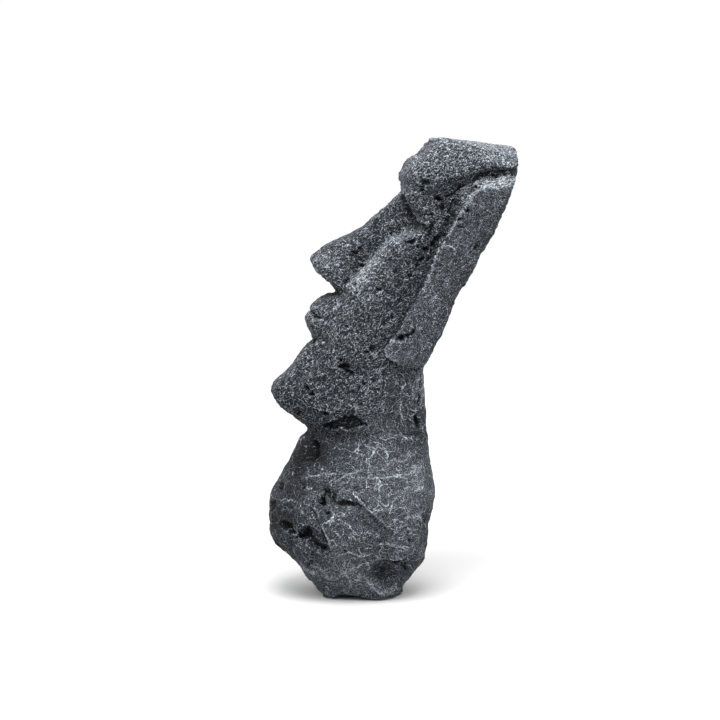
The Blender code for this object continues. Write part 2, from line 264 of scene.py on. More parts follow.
def lofted(name, ribs, step=1.6, rounds=3):
    """A closed, finely stepped solid through ribs."""
    half = np.array([half_points(r) for r in ribs])
    t = half[:, :, 1].mean(1)
    at = np.linspace(t[0], t[-1], int((t[-1] - t[0]) / step) + 2)
    half = through(t, half.reshape(len(ribs), -1), at).reshape(len(at), HALF, 3)
    ring = np.concatenate([half, half[:, ::-1] * (1, 1, -1)], axis=1)
    for _ in range(rounds):
        after = np.roll(ring, -1, axis=1)
        ring = np.stack([0.75 * ring + 0.25 * after, 0.25 * ring + 0.75 * after], 2).reshape(len(at), -1, 3)
    co = np.stack([ring[..., 2] * UNIT, ring[..., 0] * UNIT, (CROWN_DROP - ring[..., 1]) * RISE], -1)
    bm = bmesh.new()
    loops = [[bm.verts.new(v) for v in row] for row in co]
    for low, high in zip(loops, loops[1:]):
        for i in range(len(low)):
            j = (i + 1) % len(low)
            bm.faces.new((low[i], low[j], high[j], high[i]))
    bm.faces.new(loops[0])
    bm.faces.new(loops[-1])
    return shown(name, meshed(bm, name))


def cylinder(name, x, y, z0, z1, rx, ry=None, steps=32):
    bm = bmesh.new()
    bmesh.ops.create_cone(bm, cap_ends=True, segments=steps, radius1=1, radius2=1, depth=1)
    bmesh.ops.scale(bm, vec=(rx, ry or rx, z1 - z0), verts=bm.verts)
    bmesh.ops.translate(bm, vec=(x, y, (z0 + z1) / 2), verts=bm.verts)
    return shown(name, meshed(bm, name))


def block(name, low, high):
    bm = bmesh.new()
    bmesh.ops.create_cube(bm, size=1)
    low, high = Vector(low), Vector(high)
    bmesh.ops.scale(bm, vec=high - low, verts=bm.verts)
    bmesh.ops.translate(bm, vec=(low + high) / 2, verts=bm.verts)
    return shown(name, meshed(bm, name))


def applied(ob):
    """The object with its modifiers made real."""
    bpy.context.view_layer.update()
    made = bpy.data.meshes.new_from_object(ob.evaluated_get(bpy.context.evaluated_depsgraph_get()))
    old = ob.data
    ob.modifiers.clear()
    ob.data = made
    bpy.data.meshes.remove(old)
    return ob


def evened(ob, pitch):
    mod = ob.modifiers.new("even", "REMESH")
    mod.mode = "VOXEL"
    mod.voxel_size = pitch
    mod.adaptivity = 0
    return applied(ob)


def cut(ob, others, kind="DIFFERENCE"):
    """Cuts others from ob, or joins them to it, and removes them."""
    for other in others:
        mod = ob.modifiers.new("cut", "BOOLEAN")
        mod.operation, mod.solver, mod.object = kind, "MANIFOLD", other
    applied(ob)
    for other in others:
        bpy.data.objects.remove(other, do_unlink=True)
    return ob


class Surface:
    """A mesh's points, normals and neighbours as arrays."""

    def __init__(self, mesh):
        self.mesh = mesh
        self.co = np.empty(len(mesh.vertices) * 3, np.float32)
        mesh.vertices.foreach_get("co", self.co)
        self.co = self.co.reshape(-1, 3).astype(float)
        self.edges = np.empty(len(mesh.edges) * 2, np.int32)
        mesh.edges.foreach_get("vertices", self.edges)
        self.edges = self.edges.reshape(-1, 2)
        self.count = np.bincount(self.edges.ravel(), minlength=len(self.co)).astype(float)[:, None]
        self.turn()

    def turn(self):
        self.mesh.vertices.foreach_set("co", self.co.astype(np.float32).ravel())
        self.mesh.update()
        n = np.empty(len(self.co) * 3, np.float32)
        self.mesh.vertex_normals.foreach_get("vector", n)
        self.n = n.reshape(-1, 3).astype(float)

    def smoothed(self, values, times, share=0.5):
        a, b = self.edges.T
        flat = values.reshape(len(self.co), -1)
        for _ in range(times):
            total = np.stack([np.bincount(a, flat[b, c], len(self.co)) + np.bincount(b, flat[a, c], len(self.co))
                              for c in range(flat.shape[1])], 1)
            flat = flat + share * (total / np.maximum(self.count, 1) - flat)
        return flat.reshape(values.shape)

    def move(self, lift):
        self.co = self.co + self.n * (lift * UNIT)[:, None]
        self.turn()

    def keep(self, name, values):
        self.mesh.attributes.new(name, "FLOAT", "POINT").data.foreach_set("value", values.astype(np.float32))

    def proud(self, times):
        """How far points stand above the surface around them, in drawing units."""
        return ((self.co - self.smoothed(self.co, times)) * self.n).sum(1) / UNIT


def along(x, y, path):
    """Distance of points in the elevation to a path, the side of it they are on, and how far along it, from 0 to 1."""
    pts = np.array(path, float)
    step = np.diff(pts, axis=0)
    size = np.hypot(*step.T)
    run = np.concatenate([[0], np.cumsum(size)]) / size.sum()
    best, side, at = np.full(len(x), 1e9), np.zeros(len(x)), np.zeros(len(x))
    for k in range(len(step)):
        t = np.clip(((x - pts[k, 0]) * step[k, 0] + (y - pts[k, 1]) * step[k, 1]) / size[k] ** 2, 0, 1)
        ex, ey = x - pts[k, 0] - t * step[k, 0], y - pts[k, 1] - t * step[k, 1]
        d = np.hypot(ex, ey)
        near = d < best
        best = np.where(near, d, best)
        side = np.where(near, np.sign(step[k, 0] * ey - step[k, 1] * ex), side)
        at = np.where(near, run[k] + t * (run[k + 1] - run[k]), at)
    return best, side, at


def within(x, y, outline, soft=3.0):
    """1 inside a closed outline in the elevation, 0 outside, with a soft edge."""
    pts = np.array(list(outline) + [outline[0]], float)
    inside = np.zeros(len(x), bool)
    for (ax, ay), (bx, by) in zip(pts, pts[1:]):
        if ay != by:
            inside ^= ((ay > y) != (by > y)) & (x < (bx - ax) * (y - ay) / (by - ay) + ax)
    d = along(x, y, pts)[0]
    return ramp(np.where(inside, d, -d), -soft, soft)


# ---------------------------------------------------------------- carving
EAR = ((480, 186), (468, 199), (457, 213), (450, 228), (443, 241), (434, 260), (424, 280), (412, 304), (403, 320), (394, 335),
       (381, 352), (390, 360), (400, 365), (411, 367), (424, 370), (432, 358), (444, 335), (455, 306), (471, 279), (487, 250),
       (494, 241), (509, 205), (517, 187))
EAR_EDGE = ((481, 185), (473, 192), (467, 200), (458, 212), (450, 228), (443, 241), (434, 260), (425, 280), (412, 304),
            (403, 320), (395, 336), (382, 351), (389, 360), (400, 365), (411, 367), (424, 370))
NECK = ((300, 429), (326, 433), (345, 431), (362, 428), (378, 414), (386, 396), (390, 372), (404, 367), (426, 370), (431, 420),
        (436, 480), (442, 492), (405, 487), (392, 477), (372, 478), (351, 474), (332, 472), (309, 477), (276, 480), (284, 464))
LEAF = ((437, 262), (436, 254), (441, 247), (449, 244), (454, 250), (451, 258), (444, 266))
FACET = ((358, 504), (366, 509), (380, 525), (384, 534), (366, 530), (352, 520), (350, 508))
RIDGE_LINE = ((255, 486), (280, 481), (307, 477), (332, 472), (351, 474), (372, 478), (392, 476), (407, 487), (436, 492), (460, 494))


class Carver:
    """Adds to a surface's lift, in drawing units, from strokes in the elevation of one side."""

    def __init__(self, surface, side):
        self.s, self.side = surface, side
        flip = np.array((side, 1, 1))
        self.x, self.y = elevation(surface.co * flip)
        q = surface.co / UNIT
        self.face = (surface.n * flip) @ BACK
        self.here = ramp(surface.co[:, 0] * side / UNIT, -1.0, 1.0)
        self.seen = self.here * ramp(self.face, -0.02, 0.25)
        self.round = self.here * ramp(self.face, -0.35, 0.0)
        # besides the lift, how much painted shade and dark wash and how much painted highlight and dry-brushed paint
        # each point gets
        self.lift, self.dark, self.light = np.zeros(len(q)), np.zeros(len(q)), np.zeros(len(q))
        self.wx, self.wy = self.x + 1.3 * noise(q / 7 + 31 * side, 5), self.y + 1.3 * noise(q / 7 + 31 * side, 6)
        self.rx = self.wx + 1.7 * noise(q / 3.4, 7) + 1.2 * noise(q / 1.7, 17)
        self.ry = self.wy + 1.7 * noise(q / 3.4, 8) + 1.2 * noise(q / 1.7, 18)

    def near(self, path, margin):
        low, high = np.min(path, axis=0) - margin, np.max(path, axis=0) + margin
        return np.flatnonzero((self.x > low[0]) & (self.x < high[0]) & (self.y > low[1]) & (self.y < high[1]) & (self.here > 0))

    def stroke(self, width, amount, path, taper=0.15, over=False, paint=0.0, ragged=False):
        """A groove or ridge along a path; paint darkens it with painted shade and dark wash, or lightens it with
        painted highlight and dry-brushed paint.
        """
        k = self.near(path, 3 * width + 6)
        x, y = (self.rx, self.ry) if ragged else (self.wx, self.wy)
        d, _, t = along(x[k], y[k], path)
        f = np.exp(-(d / width) ** 2) * (self.round if over else self.seen)[k]
        if taper:
            f = f * (0.2 + 0.8 * ramp(np.minimum(t, 1 - t), 0, taper))
        self.lift[k] += amount * f
        if paint < 0:
            self.dark[k] = np.maximum(self.dark[k], -paint * f)
        if paint > 0:
            self.light[k] = np.maximum(self.light[k], paint * f)

    def step(self, width, amount, path, reach=8.0, light=0.0, ragged=False):
        """Raises the right-hand side of a path, going along it, and lowers the other, with a crisp edge between."""
        k = self.near(path, 3 * reach + 4)
        x, y = (self.rx, self.ry) if ragged else (self.wx, self.wy)
        d, side, t = along(x[k], y[k], path)
        off = side * d
        on = self.seen[k] * ramp(np.minimum(t, 1 - t), -0.02, 0.05)
        fade = np.exp(-(d / np.where(off > 0, 1.8 * reach, 0.8 * reach)) ** 2)
        self.lift[k] += amount * (ramp(off, -width, width) - 0.5) * 2 * fade * on
        # a painted highlight just off the raised edge
        if light:
            self.light[k] = np.maximum(self.light[k], light * np.exp(-((off - 0.8) / 1.2) ** 2) * on)

    def bevel(self, path, reach, amount, light=0.0):
        """Slopes the surface away from a path, on its left-hand side going along it, and ends in a groove."""
        k = self.near(path, reach + 10)
        d, side, t = along(self.wx[k], self.wy[k], path)
        off = -side * d
        on = self.seen[k] * ramp(np.minimum(t, 1 - t), -0.02, 0.12)
        self.lift[k] -= amount * np.clip(off / reach, 0, 1) * (1 - ramp(off, reach, 1.35 * reach)) * on
        # a painted highlight over the sloped band
        if light:
            f = ramp(off, -1.0, 1.0) * (1 - ramp(off, 0.75 * reach, 1.05 * reach)) * on
            self.light[k] = np.maximum(self.light[k], light * f)

    def blob(self, x, y, rx, ry, amount, turn=0.0, edge=0.5, over=False, paint=0.0, ragged=False):
        a = math.radians(turn)
        reach = max(rx, ry) * (1 + edge) + 6
        k = self.near(((x, y),), reach)
        dx, dy = ((self.rx, self.ry) if ragged else (self.wx, self.wy))
        dx, dy = dx[k] - x, dy[k] - y
        r = np.hypot((dx * math.cos(a) + dy * math.sin(a)) / rx, (dy * math.cos(a) - dx * math.sin(a)) / ry)
        f = (1 - ramp(r, 1 - edge, 1 + edge)) * (self.round if over else self.seen)[k]
        self.lift[k] += amount * f
        # paint lays painted shade and dark wash, or painted highlight and dry-brushed paint
        if paint < 0:
            self.dark[k] = np.maximum(self.dark[k], -paint * f)
        if paint > 0:
            self.light[k] = np.maximum(self.light[k], paint * f)

    def patch(self, outline, amount, soft=1.5, ragged=False, paint=0.0):
        k = self.near(outline, soft + 8)
        x, y = (self.rx, self.ry) if ragged else (self.wx, self.wy)
        f = within(x[k], y[k], outline, soft) * self.seen[k]
        self.lift[k] += amount * f
        # paint lays painted shade and dark wash, or painted highlight and dry-brushed paint
        if paint < 0:
            self.dark[k] = np.maximum(self.dark[k], -paint * f)
        if paint > 0:
            self.light[k] = np.maximum(self.light[k], paint * f)


def carve_head(c):
    """The head's own forms, the same on both sides."""
    # forehead lobe, the groove under it and the bevel over the ear, with painted shade in the groove and a painted
    # highlight on the bevel
    c.blob(448, 168, 40, 17, 2.6, -10, 0.6)
    c.blob(405, 154, 17, 12, -5.4, -42, 0.8, True)
    c.blob(400, 168, 8, 12, -2.6, 0, 0.7, True)
    c.blob(421, 142, 13, 9, -4.4, -42, 0.9, True)
    c.blob(400, 189, 8, 9, -1.6, 0, 0.8, True)
    c.blob(523, 153, 9, 9, -4.5, 0, 0.7, True)
    c.stroke(1.3, -2.0, ((508, 168), (500, 169.5), (490, 171), (479, 175), (470, 181.5), (460, 187.5), (452, 194),
                         (444, 198)), 0.08, paint=-0.5, ragged=True)
    c.bevel(((462, 206), (468, 199), (476, 191), (485, 187.5), (497, 188), (509, 187), (522, 188)), 13.0, 1.2, 0.8)
    c.stroke(6.0, 2.2, ((519, 190), (510, 207), (497, 238), (488, 252), (472, 281), (456, 308), (446, 328)), 0.15, True)
    # brow edge, temple and the side of the nose under the brow, with a painted highlight on the brow edge and painted
    # shade beneath it
    c.step(1.5, 4.2, ((428, 227), (420, 221), (414, 212), (408.5, 202), (405, 194)), 7.0, 1.0)
    c.stroke(1.0, 0.0, ((408, 201), (404, 192), (402, 181)), 0.0, paint=0.8)
    c.stroke(3.2, -1.6, ((398, 188), (402, 200), (408, 211), (415, 220)), 0.1, paint=-0.55)
    c.blob(446, 208, 12, 22, -3.0, 25, 0.6)
    # cheek ridge with the crease beside the nose, the ridge lightened with painted highlight and dry-brushed paint
    c.stroke(4.0, 2.0, ((392, 237), (404, 233), (417, 231)), 0.2, paint=0.6)
    c.stroke(7.0, 5.6, ((398, 235), (384, 250), (371, 267), (354, 286), (345, 293)), 0.08)
    c.stroke(7.0, 0.0, ((401, 234), (389, 245), (380, 257), (370, 269), (358, 281), (348, 291)), 0.05, paint=0.55)
    c.stroke(5.5, -5.0, ((406, 226), (389, 237), (374, 250), (360, 265), (350, 278)), 0.1)
    c.blob(402, 288, 20, 30, -1.6, 30, 0.7)
    # nose wing, its lower edge and the hollow under it, with a painted highlight on the edge and painted shade in the
    # hollow
    c.blob(335, 273, 15, 9, 3.2, 32, 0.7)
    c.step(1.6, 2.6, ((347, 292), (338, 286), (328, 279), (319, 271), (312, 262)), 6.0, 0.55)
    c.blob(347.5, 281.5, 2.6, 3.2, -3.0, 30, 0.5, paint=-0.6, ragged=True)
    c.stroke(2.0, -1.2, ((318, 281), (330, 290), (342, 296)), 0.1, True, paint=-0.9)
    c.blob(334, 295, 8, 4, -1.6, -10, 0.8, True)
    # lips, with painted shade in the mouth's crease and in the crease below
    c.stroke(4.0, 1.4, ((312, 309), (320, 309), (332, 310), (342, 314)), 0.1)
    c.blob(317, 298, 10, 5, -2.2, -20, 0.8, True)
    c.stroke(1.3, -3.2, ((298, 308), (310, 310.5), (315, 316), (319, 317.5)), 0.0, True, paint=-0.9)
    c.stroke(2.0, -1.2, ((320, 317.5), (331, 321), (339, 328)), 0.3)
    c.stroke(4.5, 1.8, ((302, 317), (314, 322), (330, 328)), 0.1, True)
    c.stroke(4.0, -1.4, ((303, 337), (314, 339), (330, 344)), 0.2, True)
    c.stroke(1.2, -1.2, ((309, 336), (312, 341), (313, 346)), 0.1, paint=-0.8)
    # the hollow under the jaw, with its rim, the hollow painted in shade
    c.patch(((321, 427), (330, 422), (338, 420), (345, 416), (352, 415.5), (359, 419), (365, 424), (357, 426), (345, 430),
             (336, 428), (328, 430)), -6.5, 1.4, True, -0.9)
    c.stroke(3.2, 2.0, ((315, 410), (330, 412), (342, 409), (354, 409), (368, 416)), 0.15)
    c.blob(348, 440, 32, 13, -6.0, 4, 0.7)
    c.blob(322, 437, 16, 10, -1.0, 20, 0.7)
    # ear, with painted highlights and dry-brushed paint along its edges and painted shade in the groove beside its
    # front edge
    c.blob(466, 270, 11, 14, 1.8, 30, 0.7, True)
    c.step(1.8, 3.2, EAR_EDGE[::-1], 9.0, 0.85, True)
    c.stroke(1.3, 0.8, ((466, 201), (475, 192), (485, 187.5), (497, 188.5), (509, 187), (517, 187)), 0.05, paint=0.75, ragged=True)
    c.stroke(3.0, -1.6, ((512, 192), (503, 212), (494, 236), (478, 262)), 0.1)
    c.stroke(0.9, 0.4, ((466, 203), (475, 204), (485, 209), (492, 214)), 0.1, paint=0.5, ragged=True)
    c.stroke(2.2, -1.8, ((452, 205), (447, 219), (440, 233), (432, 248), (425, 264)), 0.1, paint=-0.35, ragged=True)


def carve_near(c):
    """What only the figure's left side has."""
    # pits, painted darker the deeper they go: painted shade and dark wash
    for x, y, rx, ry, deep, turn in (
        (425, 181.5, 4.6, 2.4, -5, -15), (420, 189, 3, 2.0, -2.5, 0), (437, 199, 4.4, 3, -3.5, 10),
        (452, 203, 2.4, 3.6, -3.5, 30), (431, 215, 3.6, 2, -3.0, 10), (430, 226, 2.6, 3.6, -4, 20),
        (408, 241, 5.0, 2.4, -6, -8), (424, 249, 3.0, 2.8, -5, 0), (420, 259, 4.6, 1.6, -4, -25), (428, 233, 2.6, 4, -5, 10),
        (435, 239, 2.6, 3.4, -3, 30), (361, 264, 3.2, 1.6, -4, 10), (354, 254, 5, 2.2, -3, -10),
        (343.5, 366.5, 5.8, 1.9, -8, 2), (340, 360, 2.0, 1.6, -3, 0), (346, 371, 2.6, 1.1, -3, 10), (371, 348, 2.6, 2.8, -5, 10),
        (366, 352, 2.0, 1.4, -3, 0), (306, 387, 2.4, 4.6, -6, -30), (311, 394, 3.0, 2.2, -4.5, 20), (312, 341, 1.8, 3.0, -5, 30),
        (325, 413, 2.8, 1.8, -4.5, 0), (298, 412, 4, 2.6, -3.5, 40), (398.5, 338, 4.6, 3.2, -7.5, 10), (378, 289, 2.2, 1.6, -3.5, 0),
        (476, 247, 3.2, 2.2, -3, -40), (418.5, 399, 1.7, 6, -5, 6),
        (416.5, 421, 2.2, 7, -5.5, -8), (420, 385, 1.4, 5, -3.5, 0), (372, 380, 3, 2.4, -2.4, 0), (357, 388, 3, 2.4, -2.2, 0),
        (438, 200, 4.0, 3.0, -3.5, 0), (442, 207, 3.4, 4.0, -4, 20), (448, 211, 2.4, 2.4, -3, 0), (441, 234, 2.4, 2.4, -3.5, 0),
        (432, 244, 2.4, 2.4, -3.5, 0), (446, 239, 2.0, 2.6, -3, 0), (459, 219, 3.2, 1.7, -3.6, -20), (466, 210.5, 3.4, 1.7, -3.6, -20), (460, 227, 3.0, 1.5, -3.2, -20),
        (416, 266, 2.4, 2.0, -3, 0), (409, 276, 2.2, 2.6, -3, 0), (400, 300, 2.4, 2.0, -3, 20), (391, 318, 2.4, 2.0, -3, 0), (506, 158, 1.6, 1.2, -3, 0), (509, 164, 2.0, 1.6, -3, 0), (494, 174, 2.4, 2, -2.5, 0), (350, 374, 2.6, 1.6, -3, 0),
        (303, 487, 2.2, 2.4, -4, 0), (281, 487, 2.6, 4.0, -4.5, 20), (272, 505, 2.0, 6.0, -4, 10), (326, 513, 2.4, 1.6, -4.5, 0),
        (310, 562, 2.6, 2.4, -4, 0), (398, 562.5, 3.2, 2.6, -5.5, 0),
    ):
        c.blob(x, y, 0.82 * rx, 0.82 * ry, deep, turn, 0.65, paint=-min(1.0, -deep / 6.5), ragged=True)
    c.stroke(1.6, -4.0, ((402, 338), (409, 334), (415, 329)), 0.2, paint=-0.9, ragged=True)
    # the leaf patch, its raised edge picked out with painted highlight and dry-brushed paint
    c.patch(LEAF, 1.8, 0.9)
    c.stroke(1.1, 0.8, ((435, 263), (437, 254), (441, 248), (447, 244.5), (452, 248), (454, 251), (452, 257)), 0.05, paint=1.0)
    c.stroke(1.3, 0.4, ((440, 267), (446, 265), (452, 258)), 0.1, paint=0.6)
    # the crease beside the neck, painted in shade
    c.stroke(3.0, -8.5, ((311, 437), (312, 442), (314, 449), (313.5, 458)), 0.1, paint=-0.9, ragged=True)
    c.stroke(5.0, -3.0, ((313, 456), (303, 467), (291, 478)), 0.15)
    c.blob(296, 447, 9, 16, 2.6, 22, 0.6)
    c.stroke(7.0, 2.2, ((374, 433), (400, 436), (432, 437)), 0.2)
    c.step(1.4, 1.0, ((366, 478), (368, 460), (368, 440), (365, 424)), 9.0, 0.35)
    c.stroke(1.2, 0.6, ((402, 384), (401, 398), (400, 412), (405, 424)), 0.1, paint=0.3)
    # rock: the ridges under the neck, the overhung crack, crevices, dimple and facets, with painted highlights along
    # the ridges and facet edges and painted shade in the crack, crevices and dimple
    c.step(1.8, 2.4, ((300, 478), (310, 476), (322, 473.5), (336, 473)), 9.0, 0.45)
    c.step(1.6, 2.0, ((331, 484), (338, 479), (347, 474), (357, 471)), 9.0, 0.45)
    c.step(1.8, 1.6, ((362, 476), (372, 478), (384, 477), (397, 475), (414, 471)), 9.0, 0.4)
    c.stroke(1.8, -4.5, ((319, 504), (322, 499), (325, 491), (327, 487.5)), 0.1, paint=-0.6, ragged=True)
    c.stroke(1.1, -1.2, ((333, 500), (338, 503), (346, 504), (358, 504)), 0.1, paint=-0.4, ragged=True)
    c.blob(321.5, 501, 4.6, 3.8, -4.5, -35, 0.55, paint=-0.85, ragged=True)
    c.blob(330.5, 494, 4.2, 7.0, -3.2, -25, 0.55, paint=-0.7, ragged=True)
    c.blob(332, 508, 15, 7, -1.3, 5, 0.7)
    c.step(1.6, 0.6, ((388, 530), (382, 525), (370, 513), (359, 503)), 10.0, 0.7)
    c.step(1.4, 1.35, ((362, 503), (352, 503), (343, 502), (335, 498.5), (327, 488)), 7.0, 0.2, True)
    c.patch(((360, 505), (366, 509), (379, 524), (377, 532), (363, 527), (357, 516)), -1.2, 3.0)
    c.blob(285, 525, 5.5, 3.6, -6.5, 15, 0.45, paint=-1.0, ragged=True)
    c.blob(290, 531, 2.6, 2.2, -5.0, 0, 0.45, paint=-1.0, ragged=True)
    c.blob(300, 541, 10, 7, -4.0, 25, 0.6)
    c.stroke(3.3, -8.0, ((295, 538), (301, 536.5), (306, 530), (309, 537), (313, 543), (319, 547.5), (326, 551)), 0.05, paint=-0.9,
             ragged=True)
    c.step(1.5, 1.6, ((333, 556), (328, 544), (322, 532), (317, 519), (314, 508)), 8.0, 0.3)
    c.blob(383, 574, 13, 10.5, -8.5, 0, 0.5, paint=-0.3)
    c.blob(382, 574, 5.6, 4.2, -4.5, 0, 0.5, paint=-0.9, ragged=True)
    c.blob(397.5, 563, 4.0, 2.6, -4.0, -20, 0.5, paint=-0.9, ragged=True)
    c.blob(404, 567, 3.0, 3.6, -3.0, 20, 0.5, paint=-0.7, ragged=True)
    c.stroke(2.2, 1.8, ((367, 580), (371, 588), (382, 592), (393, 588)), 0.1, paint=0.6)
    c.step(1.5, 3.4, ((419, 514), (419.5, 530), (417.5, 543), (410, 554), (399, 559), (386, 559.5)), 9.0, 0.75)
    # the upper right of the rock lightened with painted light from above and dry-brushed paint
    c.blob(415, 481, 8, 12, 1.8, 0, 0.7, paint=0.35)
    c.blob(414, 470, 5, 3.6, 0.8, 0, 0.6, paint=0.9, ragged=True)
    c.blob(417.5, 488, 2.6, 4.6, 0.8, 0, 0.6, paint=0.9, ragged=True)
    for path in VEINS:
        c.stroke(0.85, 0.5, path, 0.12, paint=0.9)
    c.blob(300, 505, 15, 14, 2.4, 0, 0.7)
    c.blob(348, 541, 15, 13, 2.0, 0, 0.7)
    c.blob(395, 508, 16, 14, 1.8, 0, 0.7)
    c.blob(386, 594, 20, 9, 2.6, 8, 0.7, True)
    c.blob(441, 519, 9, 22, -3.6, 5, 0.7, True)
    c.blob(281, 552, 13, 10, -3.6, 0, 0.7, True)
    c.blob(318, 572, 14, 12, 1.8, 0, 0.7)


VEINS = (((331, 484), (336, 480), (345, 475), (357, 471.5), (366, 469)), ((366, 428), (367, 445), (368, 460), (367, 476)),
         ((372, 478), (380, 478.5), (388, 476.5), (398, 477), (408, 480)), ((383, 468.5), (388.5, 463.5), (394, 460), (401, 461.5), (406, 458.5), (408, 451)),
         ((372, 462), (372, 452), (378, 446), (384, 448), (387, 456), (385, 463)), ((378, 479), (378, 497), (377, 507)),
         ((391.5, 500), (388.5, 511), (387, 518.5)), ((353, 495), (360, 501), (368, 511), (377, 518), (387, 528.5), (393, 521.5), (397, 518)),
         ((416, 541), (415.5, 548.5), (410, 554), (398.5, 558.5), (388, 560)), ((375, 544), (391, 544), (408, 548)),
         ((411, 518), (415, 513), (418, 521)), ((330, 520), (338, 519), (347, 524), (351, 530), (358, 534)),
         ((410, 467), (416, 465), (420, 471), (414, 475), (409, 472)), ((416, 483), (421, 486), (419, 492), (414, 489)),
         ((300, 478), (310, 476), (322, 473), (336, 473.5)), ((322, 528), (327, 538), (331, 552)), ((336, 556), (349, 552), (361, 557), (372, 553)),
         ((282, 506), (290, 500), (299, 503), (304, 512)), ((401, 384), (400, 398), (400, 412), (405, 424)),
         ((408, 380), (413, 392), (411, 404)), ((340, 574), (352, 569), (362, 575)), ((312, 563), (322, 569), (330, 579)),
         ((300, 560), (306, 568), (318, 573), (322, 583)), ((345, 560), (342, 570), (350, 580), (348, 590)), ((372, 588), (382, 592), (393, 588), (398, 580)),
         ((402, 506), (408, 512), (404, 522)), ((398, 534), (405, 530), (411, 534)), ((360, 540), (368, 536), (374, 528)))


def carve_far(c):
    """What only the figure's right side has."""
    # pits, painted darker the deeper they go: painted shade and dark wash
    for x, y, rx, ry, deep, turn in (
        (436, 176, 4, 3, -4, 0), (420, 184, 3, 3, -3, 20), (441, 203, 4, 3, -4, 0), (450, 210, 3, 4, -4, 30),
        (432, 228, 3, 4, -3.5, 30), (414, 246, 4, 3, -4.5, -10), (428, 256, 3, 3, -4, 0), (352, 358, 3, 5, -5.5, 40),
        (335, 372, 4, 2.6, -4.5, -20), (316, 392, 3, 3, -4, 0), (388, 330, 4, 3, -4.5, 0), (470, 240, 4, 3, -3, -30),
        (430, 320, 5, 3, -4, -50), (376, 362, 3, 3, -3, 0), (415, 408, 3, 6, -4, 10),
    ):
        c.blob(x, y, 0.72 * rx, 0.72 * ry, 0.8 * deep, turn, 0.7, paint=-min(0.8, -deep / 9), ragged=True)
    # the crease beside the neck and the rock's cracks, painted in shade
    c.stroke(3.0, -4.0, ((316, 437), (320, 446), (324, 458)), 0.1, paint=-0.7, ragged=True)
    c.step(2.0, 2.0, ((290, 479), (312, 475), (330, 480)), 9.0, 0.65)
    c.step(2.0, 1.8, ((346, 477), (366, 472), (388, 478), (412, 474)), 9.0, 0.65)
    c.stroke(2.8, -6.0, ((392, 494), (402, 503), (398, 516), (409, 528)), 0.1, paint=-0.9, ragged=True)
    c.step(1.6, 2.0, ((418, 528), (413, 506), (404, 490)), 8.0, 0.65)
    c.blob(283, 515, 6, 9, -4.0, 10, 0.5, paint=-0.6, ragged=True)
    c.step(1.6, 1.8, ((292, 500), (297, 520), (292, 540)), 8.0, 0.65)
    c.blob(330, 578, 12, 8, -3.5, 10, 0.6)
    c.blob(386, 594, 20, 9, 2.0, 8, 0.7, True)


# soft patches of painted shade and painted highlight, partly paint lying thicker or thinner: place, half-sizes, turn
# and amount
PLATEAU = ((436, 139), (470, 140), (517, 147), (518, 157), (507, 159), (490, 154), (468, 147))
SHADE_AND_TONE = ((440, 160, 42, 16, -8, 0.06), (440, 207, 16, 28, 25, -0.05), (402, 288, 15, 50, 32, -0.17), (350, 345, 40, 32, 0, -0.08),
        (312, 385, 46, 26, 0, -0.10), (330, 446, 28, 16, 0, -0.21), (317, 456, 12, 12, 0, -0.24), (301, 458, 14, 28, 20, -0.27),
        (282, 514, 20, 42, 0, -0.24), (273, 522, 6, 12, 0, -0.14), (312, 541, 8, 8, 0, -0.08), (312, 487, 22, 10, 0, -0.12), (317, 538, 9, 13, -20, -0.17), (398, 490, 45, 30, 0, 0.05), (415, 525, 20, 35, 0, 0.08), (402, 420, 28, 36, 0, -0.06),
        (350, 574, 50, 22, 0, 0.115), (317, 263, 15, 12, 30, 0.05), (320, 320, 13, 18, 0, 0.14), (362, 252, 26, 11, -38, -0.19), (378, 228, 14, 10, -30, -0.08),
        (403, 213, 5, 12, -25, -0.06), (292, 472, 10, 18, 35, -0.08), (498, 180, 16, 8, -8, 0.14), (396, 234, 16, 5, -10, 0.08),
        (366, 274, 7, 26, 40, 0.05), (356, 287, 9, 8, 0, 0.08), (388, 258, 12, 22, 35, -0.05), (325, 299, 11, 4.5, -20, -0.16), (390, 355, 9, 7, 0, 0.07), (402, 165, 8, 14, 0, 0.13), (430, 240, 11, 17, 30, -0.10),
        (463, 188, 13, 8, -30, -0.05), (422, 386, 8, 20, 0, 0.25), (382, 438, 16, 12, 0, 0.06),
        (384, 572, 9, 8, 0, -0.09), (410, 565, 14, 8, -35, -0.12), (425, 534, 5, 22, 0, -0.10), (311, 549, 9, 8, 0, -0.10),
        (342, 552, 10, 10, 0, 0.09), (380, 470, 12, 8, 0, 0.09), (400, 190, 6, 8, 0, 0.14), (366, 283, 10, 9, 0, 0.10), (490, 172, 15, 4, -8, 0.07),
        (410, 243, 10, 14, 30, -0.06), (360, 450, 10, 8, 0, -0.04), (318, 508, 12, 9, 0, -0.06), (390, 500, 12, 10, 0, -0.05))


